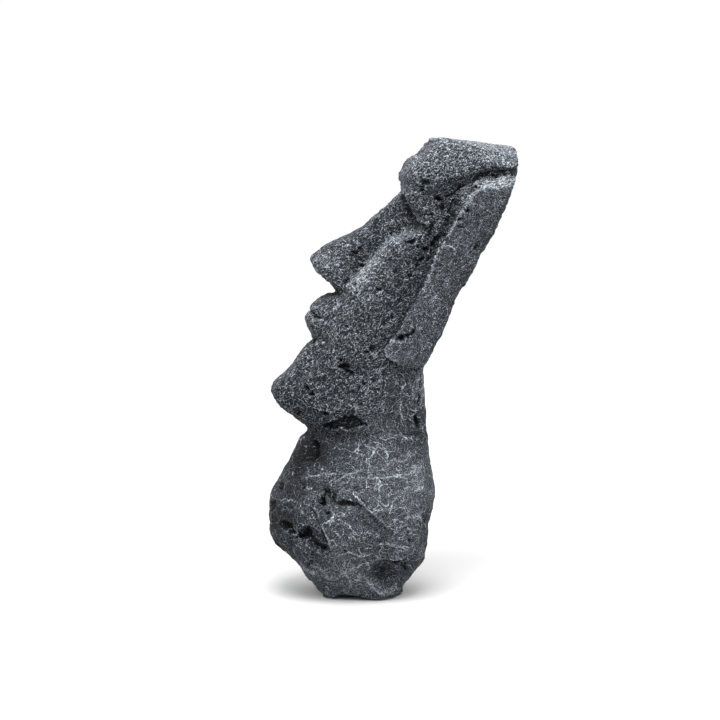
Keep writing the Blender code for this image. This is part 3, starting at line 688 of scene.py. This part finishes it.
def grain(s):
    """Grain over the whole surface: hammered hollows, short ridges, scattered pits, each at the strength of its region."""
    q = s.co / UNIT
    flip = np.where(s.co[:, 0:1] < 0, (-1, 1, 1), (1, 1, 1))
    x, y = elevation(s.co * flip)
    face = (s.n * flip) @ BACK
    ear = within(x, y, EAR, 2.5) * ramp(face, 0.2, 0.5)
    d, side, _ = along(x, y, RIDGE_LINE)
    rock = ramp(side * d, -3, 3)
    neck = within(x, y, NECK, 5.0) * (1 - rock)
    top = ramp(s.n[:, 2], 0.75, 0.92) * ramp(-y, -168, -160)
    leaf = within(x, y, LEAF, 1.5) * ramp(face, 0.2, 0.5) * (s.co[:, 0] > 0)
    ear = np.maximum(ear, leaf)
    smooth = within(x, y, FACET, 3.0) * ramp(face, 0.2, 0.5) * (s.co[:, 0] > 0)
    plane = np.maximum(top, 0.8 * within(x, y, PLATEAU, 2.0) * ramp(face, 0.1, 0.4) * (s.co[:, 0] > 0))
    rough = np.clip(1.0 - 0.72 * ear - 0.7 * neck - 0.45 * rock - 0.75 * plane, 0.1, 1)
    wq = q + 1.8 * np.stack([noise(q / 8, 40 + i) for i in range(3)], 1)
    first, second, own = cells(wq / 7.0, 3)
    lift = 0.8 * rough * (np.minimum(first, 1.0) ** 2 - 0.45)
    first, second, _ = cells(wq / 4.0, 8)
    lift += 0.48 * rough * (np.minimum(first, 1) ** 1.5 - 0.45)
    first, _, own = cells(wq / 13, 21)
    size = 0.05 + 0.11 * own
    ragged = first + 0.07 * noise(q / 1.9, 23)
    pits = (own > 0.6) * (1 - ramp(ragged, size * 0.6, size * 1.2)) * np.clip(rough * 1.3 - 0.3 + 0.25 * rock, 0, 1)
    lift -= 2.2 * pits
    # short chisel ridges, leaning up to the right in the elevation
    run, over = (x * 0.84 - y * 0.54), (x * 0.54 + y * 0.84)
    lift += 0.7 * rough * noise(np.stack([run / 9, over / 3.2, q[:, 0] / 8], 1) + 0.3 * wq / 9, 27)
    lift += (0.4 + 0.4 * rough) * layered(q / 13, 60, 3)
    lift += 1.0 * layered(q / 30, 70, 2) * (1 - 0.6 * ear - 0.6 * top)
    lift += rock * 1.9 * layered(q / 22, 80, 3)
    lift += 0.5 * (0.35 + 0.65 * rough) * noise(q / 2.4, 90)
    # the back is dressed in broad facets, with a few cracks
    back = ramp(s.n[:, 1], 0.35, 0.7) * (1 - ramp(s.n @ BACK, -0.05, 0.2))
    first, _, _ = cells(wq / 21, 33)
    lift += back * (2.4 * (0.3 - np.minimum(first, 1) ** 2) + 1.4 * layered(q / 24, 95, 3))
    crack = back * np.exp(-(noise(wq / 22, 97) / 0.05) ** 2) * ramp(noise(q / 28, 98), 0.0, 0.25)
    lift -= 2.8 * crack
    pits = np.maximum(pits, 0.8 * crack)
    lift += top * (3.0 - 0.8 * ramp(x, 450, 515))
    s.move(lift)
    # the crown dips at the back of the figure's left side
    drop = CROWN_DROP - s.co[:, 2] / RISE
    s.co[:, 2] -= 9.5 * RISE * ramp(q[:, 1], 48, 116) * ramp(q[:, 0], 0, 45) * (1 - ramp(drop, 14, 34))
    s.turn()
    # the soft patches of painted shade and painted highlight, partly thicker or thinner paint, the same on both sides
    shade_and_tone = np.zeros(len(q))
    for at_x, at_y, wide, high, turn, amount in SHADE_AND_TONE:
        a = math.radians(turn)
        dx, dy = x - at_x, y - at_y
        shade_and_tone += amount * np.exp(-((dx * math.cos(a) + dy * math.sin(a)) / wide) ** 2
                                - ((dy * math.cos(a) - dx * math.sin(a)) / high) ** 2)
    veined = 0.6 * ear * ramp(y, 262, 292)
    # the upward-facing top and the plateau are painted lighter in the finish, partly dry-brushed paint and partly
    # painted light from above
    return {"shade_and_tone": shade_and_tone - 0.05 * smooth, "slate": np.maximum(ear - veined, 0.8 * smooth),
            "vein": np.clip(neck + rock + veined, 0, 1) * (1 - 0.8 * smooth), "top": plane, "rough": rough, "pits": pits}


# ---------------------------------------------------------------- the two castings
form = evened(lofted("form", HEAD_RIBS + ROUND_RIBS), PITCH)
surface = Surface(form.data)
start = surface.co.copy()
print("POINTS", len(surface.co), "FACES", len(form.data.polygons))
lift, dark, light = (np.zeros(len(surface.co)) for _ in range(3))
for side, own in ((1, carve_near), (-1, carve_far)):
    carver = Carver(surface, side)
    carve_head(carver)
    own(carver)
    lift += carver.lift
    dark, light = np.maximum(dark, carver.dark), np.maximum(light, carver.light)
surface.move(lift)

# the slope at the front of the crown is evened
x, y = elevation(surface.co * np.where(surface.co[:, 0:1] < 0, (-1, 1, 1), (1, 1, 1)))
share = 0.9 * np.exp(-((x - 412) / 15) ** 4 - ((y - 151) / 12) ** 4)[:, None]
surface.co += share * (surface.smoothed(surface.co, 40) - surface.co)
surface.turn()

# the foot's edge arches up a little at the front of the figure's left side
q = surface.co / UNIT
arched = np.exp(-((elevation(surface.co)[0] - 348) / 13) ** 4) * ramp(q[:, 0], 5, 15)
arched *= ramp(((q[:, 1] + 36) / 42) ** 2 + (q[:, 0] / 45) ** 2, 0.55, 0.8) * (1 - ramp(q[:, 2] - RIM_Z / UNIT, 3, 14))
surface.co[:, 2] += 3.5 * UNIT * arched
surface.turn()

# the rock's surface falls in towards the cave mouth
MOUTH_Y, MOUTH_WIDE, MOUTH_SILL, MOUTH_SPRING = -0.0186, 0.0310, 0.0127, 0.0270


def arch(y, z):
    """Distance outside the arch of the cave mouth, in drawing units."""
    out = np.abs(y - MOUTH_Y) - MOUTH_WIDE / 2
    low = np.maximum(out, MOUTH_SILL - z)
    high = np.hypot(y - MOUTH_Y, z - MOUTH_SPRING) - MOUTH_WIDE / 2
    return np.where(z > MOUTH_SPRING, high, low) / UNIT


at_mouth = ramp(-surface.co[:, 0] / UNIT, 8, 20) * ramp(-surface.n[:, 0], 0.1, 0.4)
off = arch(surface.co[:, 1], surface.co[:, 2]) + 2.5 * noise(surface.co / UNIT / 9, 101) + 1.2 * noise(surface.co / UNIT / 4, 102)
surface.move(-7.0 * at_mouth * (1 - ramp(off, -2, 12)) ** 2)
light = np.maximum(light, 0.8 * at_mouth * np.exp(-((off - 11) / 2.5) ** 2))
regions = grain(surface)
for _ in range(2):          # the sharpest points are worn off
    surface.move(-np.clip(surface.proud(3) - 0.6, 0, None))
surface.co[:, 2] = np.maximum(surface.co[:, 2], 0.0002)          # nothing goes below the floor

# the carving stops at least WALL short of the hollows behind it, but for the cave mouth
WALL = 0.0024
carved = (np.linalg.norm(surface.co - start, axis=1) > 0.0012) & ~((at_mouth > 0.3) & (off < 16))
for ribs in (HEAD_HOLLOW, CAVE_HOLLOW):
    limit = lofted("limit", ribs)
    tree = BVHTree.FromPolygons([v.co for v in limit.data.vertices], [f.vertices for f in limit.data.polygons])
    kept = 0
    for i in np.flatnonzero(carved):
        point = Vector(surface.co[i])
        hit, out, _, gap = tree.find_nearest(point, 0.012)
        if hit is None:
            continue
        away = (point - hit).normalized() if (point - hit).dot(out) > 0 else (hit - point).normalized()
        if gap < WALL or (point - hit).dot(out) <= 0:
            surface.co[i] = hit + away * WALL
            kept += 1
    print("WALL", kept, "of", int(carved.sum()))
    bpy.data.objects.remove(limit, do_unlink=True)
surface.turn()
# painted shade and dark wash from the carving and from the grain's pits and cracks, and painted highlights and
# dry-brushed paint from the carving
regions["dark"] = np.maximum(dark, regions.pop("pits"))
regions["light"] = light
regions["fine"] = surface.proud(3)
regions["broad"] = surface.proud(30)
for name, values in regions.items():
    surface.keep(name, values)
for name in ("fine", "broad"):
    print(name, np.percentile(regions[name], (1, 5, 25, 50, 75, 95, 99)).round(2))


def hollow(name, others, seed, rough=0.8, pitch=0.0011):
    """A rough-walled hollow: others joined, evened and roughened, marked as inside."""
    ob = others[0]
    if len(others) > 1:
        cut(ob, others[1:], "UNION")
    evened(ob, pitch)
    s = Surface(ob.data)
    s.co = s.smoothed(s.co, 3)
    s.turn()
    q = s.co / UNIT
    first, _, _ = cells(q / 9, seed)
    s.move(rough * (layered(q / 16, seed + 1, 3) - 0.9 * (np.minimum(first, 1) ** 2 - 0.45)))
    s.keep("fine", -s.proud(3))
    s.keep("broad", -s.proud(30))
    s.keep("inside", np.ones(len(s.co)))
    return ob


def arch_prism():
    bm = bmesh.new()
    turn = [math.pi * i / 24 for i in range(25)]
    outline = [(MOUTH_Y + MOUTH_WIDE / 2 * math.cos(a), MOUTH_SPRING + MOUTH_WIDE / 2 * math.sin(a)) for a in turn]
    outline += [(MOUTH_Y - MOUTH_WIDE / 2, MOUTH_SILL), (MOUTH_Y + MOUTH_WIDE / 2, MOUTH_SILL)]
    ends = [[bm.verts.new((x, y, z)) for y, z in outline] for x in (-0.060, -0.010)]
    for i in range(len(outline)):
        j = (i + 1) % len(outline)
        bm.faces.new((ends[0][i], ends[0][j], ends[1][j], ends[1][i]))
    bm.faces.new(ends[0])
    bm.faces.new(ends[1])
    return shown("mouth", meshed(bm, "mouth"))


def copied(ob, name):
    other = shown(name, ob.data.copy())
    return other


def pins(over, z0, z1):
    return [cylinder("pin", across * UNIT, p * UNIT, z0, z1, DOWEL_D / 2 + over, steps=24) for p, across in DOWELS]


head = copied(form, "head_casting")
rock = form
rock.name = "rock_casting"
bed_rib = (-115, 39, SEAM_DROP, 67, 0.86)
bed_low, bed_high = SEAM_Z - BED / 2 - JOINT_GAP, SEAM_Z + BED / 2 + JOINT_GAP


def bed_pocket():
    inset = BED_SET - 0.6
    rib = (bed_rib[0] + inset, bed_rib[1] - inset, bed_rib[2], bed_rib[3] - inset, bed_rib[4])
    rows = [(p, (CROWN_DROP - z / RISE), w) for z in (bed_high, bed_low) for p, _, w in half_points(rib)]
    bm = bmesh.new()
    rings = []
    for level in (rows[:HALF], rows[HALF:]):
        ring = [(w * UNIT, p * UNIT, (CROWN_DROP - d) * RISE) for p, d, w in level]
        ring += [(-x, y, z) for x, y, z in ring[::-1]]
        rings.append([bm.verts.new(v) for v in ring])
    for i in range(len(rings[0])):
        j = (i + 1) % len(rings[0])
        bm.faces.new((rings[0][i], rings[0][j], rings[1][j], rings[1][i]))
    bm.faces.new(rings[0])
    bm.faces.new(rings[1])
    return shown("bed", meshed(bm, "bed"))


cut(head, [block("below", (-1, -1, -1), (1, 1, SEAM_Z))])
cut(head, [hollow("head_hollow", [lofted("head_hollow", HEAD_HOLLOW)], 201), bed_pocket()]
    + pins(DOWEL_FIT / 2, SEAM_Z - 0.001, SEAM_Z + DOWEL_LONG / 2 + 0.0004))
vent = cylinder("vent", 0, 0, 0.045, 0.085, VENT_D / 2, steps=28)
vent.data.transform(Matrix.Translation((0, 0, VENT_Z)) @ Matrix.Rotation(-math.pi / 2, 4, "X"))
cut(head, [vent])
cut(rock, [block("above", (-1, -1, SEAM_Z), (1, 1, 1))])
cave = hollow("cave", [lofted("cave", CAVE_HOLLOW), arch_prism()], 301, 1.2)
cut(rock, [cave, bed_pocket()] + pins(DOWEL_FIT / 2, SEAM_Z - DOWEL_LONG / 2 - 0.0004, SEAM_Z + 0.001))
under = [cylinder("pocket", 0, SOLE_Y, -0.01, LEDGE_Z, PLATE_X + PLATE_FIT, PLATE_Y + PLATE_FIT, 64),
         cylinder("pour", 0, SOLE_Y, -0.01, FLOOR_Z + 0.004, POUR_X, POUR_Y, 64)]
under += [cylinder("pad", x, SOLE_Y + y, -0.01, 0.0025, PAD_D / 2 + PAD_FIT, steps=40) for x, y in PAD_AT]
under += [cylinder("screw", x, SOLE_Y + y, -0.01, PLATE_LOW + 0.0002 + SCREW_LONG + 0.0004, SCREW_D / 2 + 0.0002, steps=20)
          for x, y in SCREW_AT]
for tool in under:
    cut(rock, [tool])
for ob in (head, rock):
    ob.data.shade_smooth()
    ob.data.set_sharp_from_angle(angle=math.radians(62))
    ob.data.materials.clear()
    print(ob.name, len(ob.data.polygons), sorted(a.name for a in ob.data.attributes))
    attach(ob, "root")
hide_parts("head_shell")
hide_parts("rock_base_shell")

# ---------------------------------------------------------------- finishes
class Look:
    """A finish, built from nodes. Sizes are in drawing units."""

    def __init__(self, name, **values):
        self.mat = bpy.data.materials.new(name)
        self.mat.use_nodes = True
        self.tree = self.mat.node_tree
        self.bsdf = self.tree.nodes["Principled BSDF"]
        for key, value in values.items():
            self.bsdf.inputs[key.replace("_", " ").title().replace("Ior", "IOR")].default_value = value
        scale = self.new("ShaderNodeVectorMath", operation="SCALE")
        scale.inputs["Scale"].default_value = 1 / UNIT
        self.link(self.new("ShaderNodeTexCoord").outputs["Object"], scale.inputs[0])
        self.place = scale.outputs[0]

    def new(self, kind, **values):
        node = self.tree.nodes.new(kind)
        for key, value in values.items():
            setattr(node, key, value)
        return node

    def link(self, value, socket):
        if isinstance(value, bpy.types.NodeSocket):
            self.tree.links.new(value, socket)
        else:
            socket.default_value = value

    def math(self, operation, a, b=0.0, clamp=False):
        node = self.new("ShaderNodeMath", operation=operation, use_clamp=clamp)
        self.link(a, node.inputs[0])
        self.link(b, node.inputs[1])
        return node.outputs[0]

    def total(self, *terms):
        """The sum of value times weight over terms, each a value or a pair of both."""
        out = None
        for term in terms:
            value, weight = term if isinstance(term, tuple) else (term, 1.0)
            part = value if weight == 1.0 else self.math("MULTIPLY", value, weight)
            out = part if out is None else self.math("ADD", out, part)
        return out

    def times(self, *values):
        out = values[0]
        for value in values[1:]:
            out = self.math("MULTIPLY", out, value)
        return out

    def less(self, value):
        return self.math("SUBTRACT", 1.0, value)

    def band(self, value, low, high, to_low=0.0, to_high=1.0):
        node = self.new("ShaderNodeMapRange", interpolation_type="SMOOTHSTEP")
        self.link(value, node.inputs["Value"])
        for key, number in zip(("From Min", "From Max", "To Min", "To Max"), (low, high, to_low, to_high)):
            node.inputs[key].default_value = number
        return node.outputs["Result"]

    def stretched(self, place, turn, scale):
        node = self.new("ShaderNodeMapping", vector_type="TEXTURE")
        self.link(place, node.inputs["Vector"])
        node.inputs["Rotation"].default_value = [math.radians(a) for a in turn]
        node.inputs["Scale"].default_value = scale
        return node.outputs[0]

    def noise(self, place, size, detail=2.0, rough=0.5, colour=False, seed=0.0):
        node = self.new("ShaderNodeTexNoise", noise_dimensions="4D")
        self.link(place, node.inputs["Vector"])
        node.inputs["W"].default_value = seed
        node.inputs["Scale"].default_value = 1 / size
        node.inputs["Detail"].default_value = detail
        node.inputs["Roughness"].default_value = rough
        return node.outputs["Color" if colour else "Fac"]

    def warped(self, place, size, amount, seed=0.0):
        """Places shifted about by noise."""
        push = self.new("ShaderNodeVectorMath", operation="MULTIPLY_ADD")
        self.link(self.noise(place, size, 1.0, colour=True, seed=seed), push.inputs[0])
        push.inputs[1].default_value = (2 * amount,) * 3
        push.inputs[2].default_value = (-amount,) * 3
        add = self.new("ShaderNodeVectorMath", operation="ADD")
        self.link(place, add.inputs[0])
        self.link(push.outputs[0], add.inputs[1])
        return add.outputs[0]

    def threads(self, place, size, thin, thick, seed=0.0, detail=0.0):
        """Thin curving lines, about a size apart."""
        off = self.math("ABSOLUTE", self.math("SUBTRACT", self.noise(place, size, detail, seed=seed), 0.5))
        return self.band(off, thin, thick, 1.0, 0.0)

    def ridges(self, place, size, reach, sharp, seed=0.0):
        """Ridges about a size apart, 1 on their crests and 0 in the hollows between."""
        off = self.math("ABSOLUTE", self.math("SUBTRACT", self.noise(place, size, 0.0, seed=seed), 0.5))
        return self.math("POWER", self.math("SUBTRACT", 1.0, self.math("DIVIDE", off, reach), True), sharp)

    def net(self, place, size, thin, thick):
        """Lines between scattered cells."""
        node = self.new("ShaderNodeTexVoronoi", feature="DISTANCE_TO_EDGE")
        self.link(place, node.inputs["Vector"])
        node.inputs["Scale"].default_value = 1 / size
        return self.band(node.outputs["Distance"], thin, thick, 1.0, 0.0)

    def kept(self, name):
        return self.new("ShaderNodeAttribute", attribute_name=name).outputs["Fac"]

    def colours(self, value, *stops):
        node = self.new("ShaderNodeValToRGB")
        self.link(value, node.inputs["Fac"])
        marks = node.color_ramp.elements
        while len(marks) < len(stops):
            marks.new(0.5)
        for mark, (at, colour) in zip(marks, stops):
            mark.position, mark.color = at, (*colour, 1)
        return node.outputs["Color"]

    def blended(self, factor, a, b):
        node = self.new("ShaderNodeMix", data_type="RGBA")
        self.link(factor, node.inputs["Factor"])
        for socket, value in ((node.inputs[6], a), (node.inputs[7], b)):
            self.link(value if isinstance(value, bpy.types.NodeSocket) else (*value, 1), socket)
        return node.outputs[2]

    def done(self, colour, roughness, height=None, tall=0.0002, strength=1.0):
        self.link(colour, self.bsdf.inputs["Base Color"])
        self.link(roughness, self.bsdf.inputs["Roughness"])
        if height is not None:
            bump = self.new("ShaderNodeBump")
            bump.inputs["Distance"].default_value = tall
            bump.inputs["Strength"].default_value = strength
            self.link(height, bump.inputs["Height"])
            self.link(bump.outputs["Normal"], self.bsdf.inputs["Normal"])
        return self.mat


def cast_resin():
    """Charcoal resin, black in the hollows with dark wash and painted shade, with pale paint dragged over whatever
    stands proud, and with painted highlights and patches of painted shade and light laid over it.
    """
    m = Look("dry_brushed_resin", specular_ior_level=0.08)
    fine, broad, rough, slate, vein = (m.kept(n) for n in ("fine", "broad", "rough", "slate", "vein"))
    dark, light, top, inside, shade_and_tone = (m.kept(n) for n in ("dark", "light", "top", "inside", "shade_and_tone"))
    bent = m.warped(m.place, 7.0, 2.4)
    bent = m.warped(bent, 2.6, 0.7, 3.0)
    speck = m.noise(m.place, 0.56, 0.5, seed=5.0)
    beads = m.band(m.noise(m.place, 1.1, 0.0, seed=15.0), 0.40, 0.60, 0.45, 1.0)
    broken = m.band(m.noise(m.place, 6.0, 2.0, 0.6, seed=1.0), 0.36, 0.62)
    patchy = m.band(m.noise(m.place, 22.0, 3.0, 0.55, seed=2.0), 0.36, 0.64)
    # nets of thin lines: one that leans with the chiselling, one of curls, wide loops and webs, and fine ridges over all
    leaning = m.stretched(bent, (33, 0, 0), (1, 1.9, 1))
    chisel = m.threads(leaning, 2.6, 0.020, 0.095, 7.0)
    curls = m.threads(bent, 2.8, 0.016, 0.085, 14.0)
    fine_net = m.ridges(m.place, 1.6, 0.19, 1.4, 9.0)
    wide = m.warped(m.warped(m.place, 12.0, 5.0, 4.0), 1.9, 0.65, 6.0)
    torn = m.warped(bent, 1.7, 0.45, 8.0)
    loops = m.times(beads, m.threads(wide, 10.5, 0.004, 0.020, 12.0, 0.5), m.band(m.noise(m.place, 13.0, 1.0, seed=11.0), 0.34, 0.48, 0.3, 1.0))
    webs = m.times(beads, m.threads(torn, 5.6, 0.006, 0.034, 13.0, 0.3), m.total(0.5, (patchy, 0.5)))
    held = m.total(0.84, (broken, 0.16))
    on_rough = m.times(m.total((chisel, 0.41), (curls, 0.29), (fine_net, 0.17)), held)
    on_vein = m.total((loops, 0.66), (webs, 0.42), m.times(m.total((chisel, 0.10), (fine_net, 0.18)), held))
    on_slate = m.times(m.total((chisel, 0.20), (curls, 0.08), (fine_net, 0.18)), held)
    plain = m.math("SUBTRACT", m.less(slate), vein, True)
    lines = m.total(m.times(on_rough, plain), m.times(on_vein, vein), m.times(on_slate, slate))
    # pale paint on what stands proud, dark wash in what lies back, and broad recesses darker still with dark wash and
    # painted shade
    proud = m.total(fine, (m.math("SUBTRACT", speck, 0.5), 0.30))
    brush = m.band(proud, 0.03, 0.42)
    wash = m.band(proud, -0.03, -0.40)
    deep = m.band(broad, -0.2, -2.4)
    ridge = m.band(broad, 0.3, 2.6)
    # the colour: painted shade and dark wash from the carving and pits, painted highlights and dry-brushed paint, tops
    # painted lighter partly as painted light from above, and soft patches of painted shade and painted highlight
    value = m.total(0.093, (m.math("SUBTRACT", patchy, 0.5), 0.03), (m.math("SUBTRACT", speck, 0.5), 2.45), (plain, -0.06),
                    (brush, 0.12), (wash, -0.16), (deep, -0.12), (ridge, 0.06), (lines, 1.06),
                    m.times(light, m.total(0.15, (beads, 0.18), (m.math("MINIMUM", lines, 0.6), 0.26))), (top, 0.19), (slate, 0.05),
                    (vein, 0.08), (dark, -0.40), shade_and_tone)
    value = m.math("SUBTRACT", value, m.times(inside, 0.16))
    colour = m.colours(value, (0.00, (.0012, .0013, .0015)), (0.22, (.0077, .0088, .0105)), (0.42, (.0258, .0294, .0348)),
                       (0.62, (.066, .074, .086)), (0.82, (.138, .151, .170)), (1.00, (.295, .316, .345)))
    dull = m.total(0.70, (speck, 0.20))
    height = m.total((lines, 1.0), (speck, 0.4))
    return m.done(colour, dull, height, 0.00050, 1.0)


def epoxy():
    """Trowelled grey epoxy with fine filler."""
    m = Look("epoxy", specular_ior_level=0.4)
    cloud, speck = m.noise(m.place, 14.0, 3.0), m.noise(m.place, 1.1, 1.0, seed=2.0)
    value = m.total((cloud, 0.7), (speck, 0.3))
    colour = m.colours(value, (0.3, (.13, .13, .12)), (0.55, (.20, .20, .185)), (0.8, (.27, .27, .255)))
    return m.done(colour, m.total(0.45, (speck, 0.25)), m.total((cloud, 0.6), (speck, 0.4)), 0.0002, 0.5)


def steel(name, turn):
    """Drawn stainless steel with fine lines along the drawing."""
    m = Look(name, metallic=1.0)
    drawn = m.noise(m.stretched(m.place, (0, 0, 0), turn), 0.35, 2.0)
    smear = m.noise(m.place, 4.0, 2.0, seed=3.0)
    value = m.total((drawn, 0.6), (smear, 0.4))
    colour = m.colours(value, (0.25, (.40, .40, .405)), (0.5, (.55, .55, .555)), (0.8, (.66, .66, .67)))
    return m.done(colour, m.total(0.20, (value, 0.30)), drawn, 0.00003, 0.5)


def mortar():
    """Grey mortar with sand in it and a few voids, painted darker as shade inside the cave."""
    m = Look("mortar", specular_ior_level=0.25)
    sand, cloud = m.noise(m.place, 0.9, 2.0), m.noise(m.place, 12.0, 3.0, seed=2.0)
    voids = m.net(m.place, 5.0, 0.30, 0.55)
    value = m.total((sand, 0.5), (cloud, 0.5))
    # greys kept dark as painted shade
    colour = m.colours(value, (0.3, (.035, .035, .033)), (0.5, (.085, .084, .080)), (0.75, (.19, .187, .178)))
    return m.done(colour, m.total(0.80, (sand, 0.15)), m.total((sand, 0.7), (cloud, 0.5), (voids, 0.25)), 0.0004, 0.8)


def moulded():
    """Black moulded plastic with a spark-eroded grain."""
    m = Look("moulded_plastic", specular_ior_level=0.5)
    spark, cloud = m.noise(m.place, 0.7, 1.0), m.noise(m.place, 20.0, 2.0, seed=2.0)
    flow = m.noise(m.stretched(m.place, (0, 0, 30), (6, 1, 1)), 9.0, 2.0, seed=4.0)
    value = m.total((spark, 0.35), (cloud, 0.35), (flow, 0.3))
    colour = m.colours(value, (0.3, (.010, .010, .0105)), (0.5, (.016, .016, .017)), (0.75, (.028, .028, .030)))
    return m.done(colour, m.total(0.42, (spark, 0.25)), spark, 0.00008, 0.7)


def rubber():
    """Black rubber with a dusty bloom."""
    m = Look("pad_rubber", specular_ior_level=0.3)
    dust, bloom = m.noise(m.place, 0.8, 2.0), m.noise(m.place, 6.0, 3.0, seed=2.0)
    value = m.total((dust, 0.4), (bloom, 0.6))
    colour = m.colours(value, (0.3, (.012, .012, .012)), (0.55, (.022, .022, .022)), (0.8, (.050, .050, .049)))
    return m.done(colour, m.total(0.68, (dust, 0.25)), dust, 0.0001, 0.6)


resin_look = cast_resin()
for ob in (head, rock):
    ob.data.materials.append(resin_look)


def dressed(name, look):
    ob = nodes[name]
    ob.data.materials.clear()
    ob.data.materials.append(look)


finish_of = {"neck_bedding_ring": epoxy(), "ballast_block": mortar(), "sole_plate": moulded()}
pin_look, screw_look, pad_look = steel("drawn_pin", (1, 1, 25)), steel("turned_screw", (16, 1, 1)), rubber()
for name in nodes:
    if name in finish_of:
        dressed(name, finish_of[name])
    elif name.startswith("neck_dowel"):
        dressed(name, pin_look)
    elif name.startswith("sole_screw"):
        dressed(name, screw_look)
    elif name.startswith("foot_pad"):
        dressed(name, pad_look)

# ---------------------------------------------------------------- stage, light and camera
scene = bpy.context.scene
bm = bmesh.new()
bmesh.ops.create_grid(bm, x_segments=1, y_segments=1, size=60)
floor = shown("floor", meshed(bm, "floor"))
paper = Look("paper", specular_ior_level=0.2)
fibre = paper.noise(paper.place, 3.0, 3.0)
floor.data.materials.append(paper.done(paper.colours(fibre, (0.3, (.325, .325, .325)), (0.7, (.335, .335, .335))),
                                       paper.total(0.9, (fibre, 0.08))))

world = bpy.data.worlds.new("studio")
scene.world = world
world.use_nodes = True
sky = world.node_tree.nodes
links = world.node_tree.links
coords = sky.new("ShaderNodeTexCoord")
split = sky.new("ShaderNodeSeparateXYZ")
rise = sky.new("ShaderNodeMapRange")
rise.interpolation_type = "SMOOTHSTEP"
rise.inputs["From Min"].default_value, rise.inputs["From Max"].default_value = 0.05, 0.80
rise.inputs["To Min"].default_value, rise.inputs["To Max"].default_value = 0.0, 1.0
links.new(coords.outputs["Generated"], split.inputs[0])
links.new(split.outputs["Z"], rise.inputs["Value"])
lean = sky.new("ShaderNodeVectorMath")
lean.operation = "DOT_PRODUCT"
lean.inputs[1].default_value = (1.6, -0.6, 0)       # more from the figure's left
links.new(coords.outputs["Generated"], lean.inputs[0])
overhead = sky.new("ShaderNodeMath")
overhead.operation = "ADD"
overhead.inputs[1].default_value = 2.4
links.new(lean.outputs["Value"], overhead.inputs[0])
strength = sky.new("ShaderNodeMath")
strength.operation = "MULTIPLY_ADD"
strength.inputs[2].default_value = 1.03
links.new(rise.outputs["Result"], strength.inputs[0])
links.new(overhead.outputs[0], strength.inputs[1])
links.new(strength.outputs[0], sky["Background"].inputs["Strength"])
sky["Background"].inputs["Color"].default_value = (1, 1, 1, 1)


def softbox(name, at, aim, size, watts):
    data = bpy.data.lights.new(name, "AREA")
    data.shape, data.size, data.energy = "DISK", size, watts
    ob = bpy.data.objects.new(name, data)
    scene.collection.objects.link(ob)
    ob.location = at
    ob.rotation_euler = (Vector(aim) - Vector(at)).to_track_quat("-Z", "Y").to_euler()


softbox("key", (0.55, -0.15, 1.20), (0, 0, 0.12), 0.7, 24)

camera = bpy.data.objects.new("camera", bpy.data.cameras.new("camera"))
scene.collection.objects.link(camera)
scene.camera = camera
camera.data.sensor_width = 36
camera.data.lens = 36 * AWAY / (720 * UNIT)
centre = AIM + RIGHT * (360 - AIM_X) * UNIT - UP * (360 - AIM_Y) * UNIT
camera.location = Vector(centre + BACK * AWAY)
camera.rotation_euler = Vector(-BACK).to_track_quat("-Z", "Y").to_euler()
camera.data.clip_start, camera.data.clip_end = 0.02, 200
scene.view_settings.view_transform = "Standard"
scene.view_settings.look = "None"
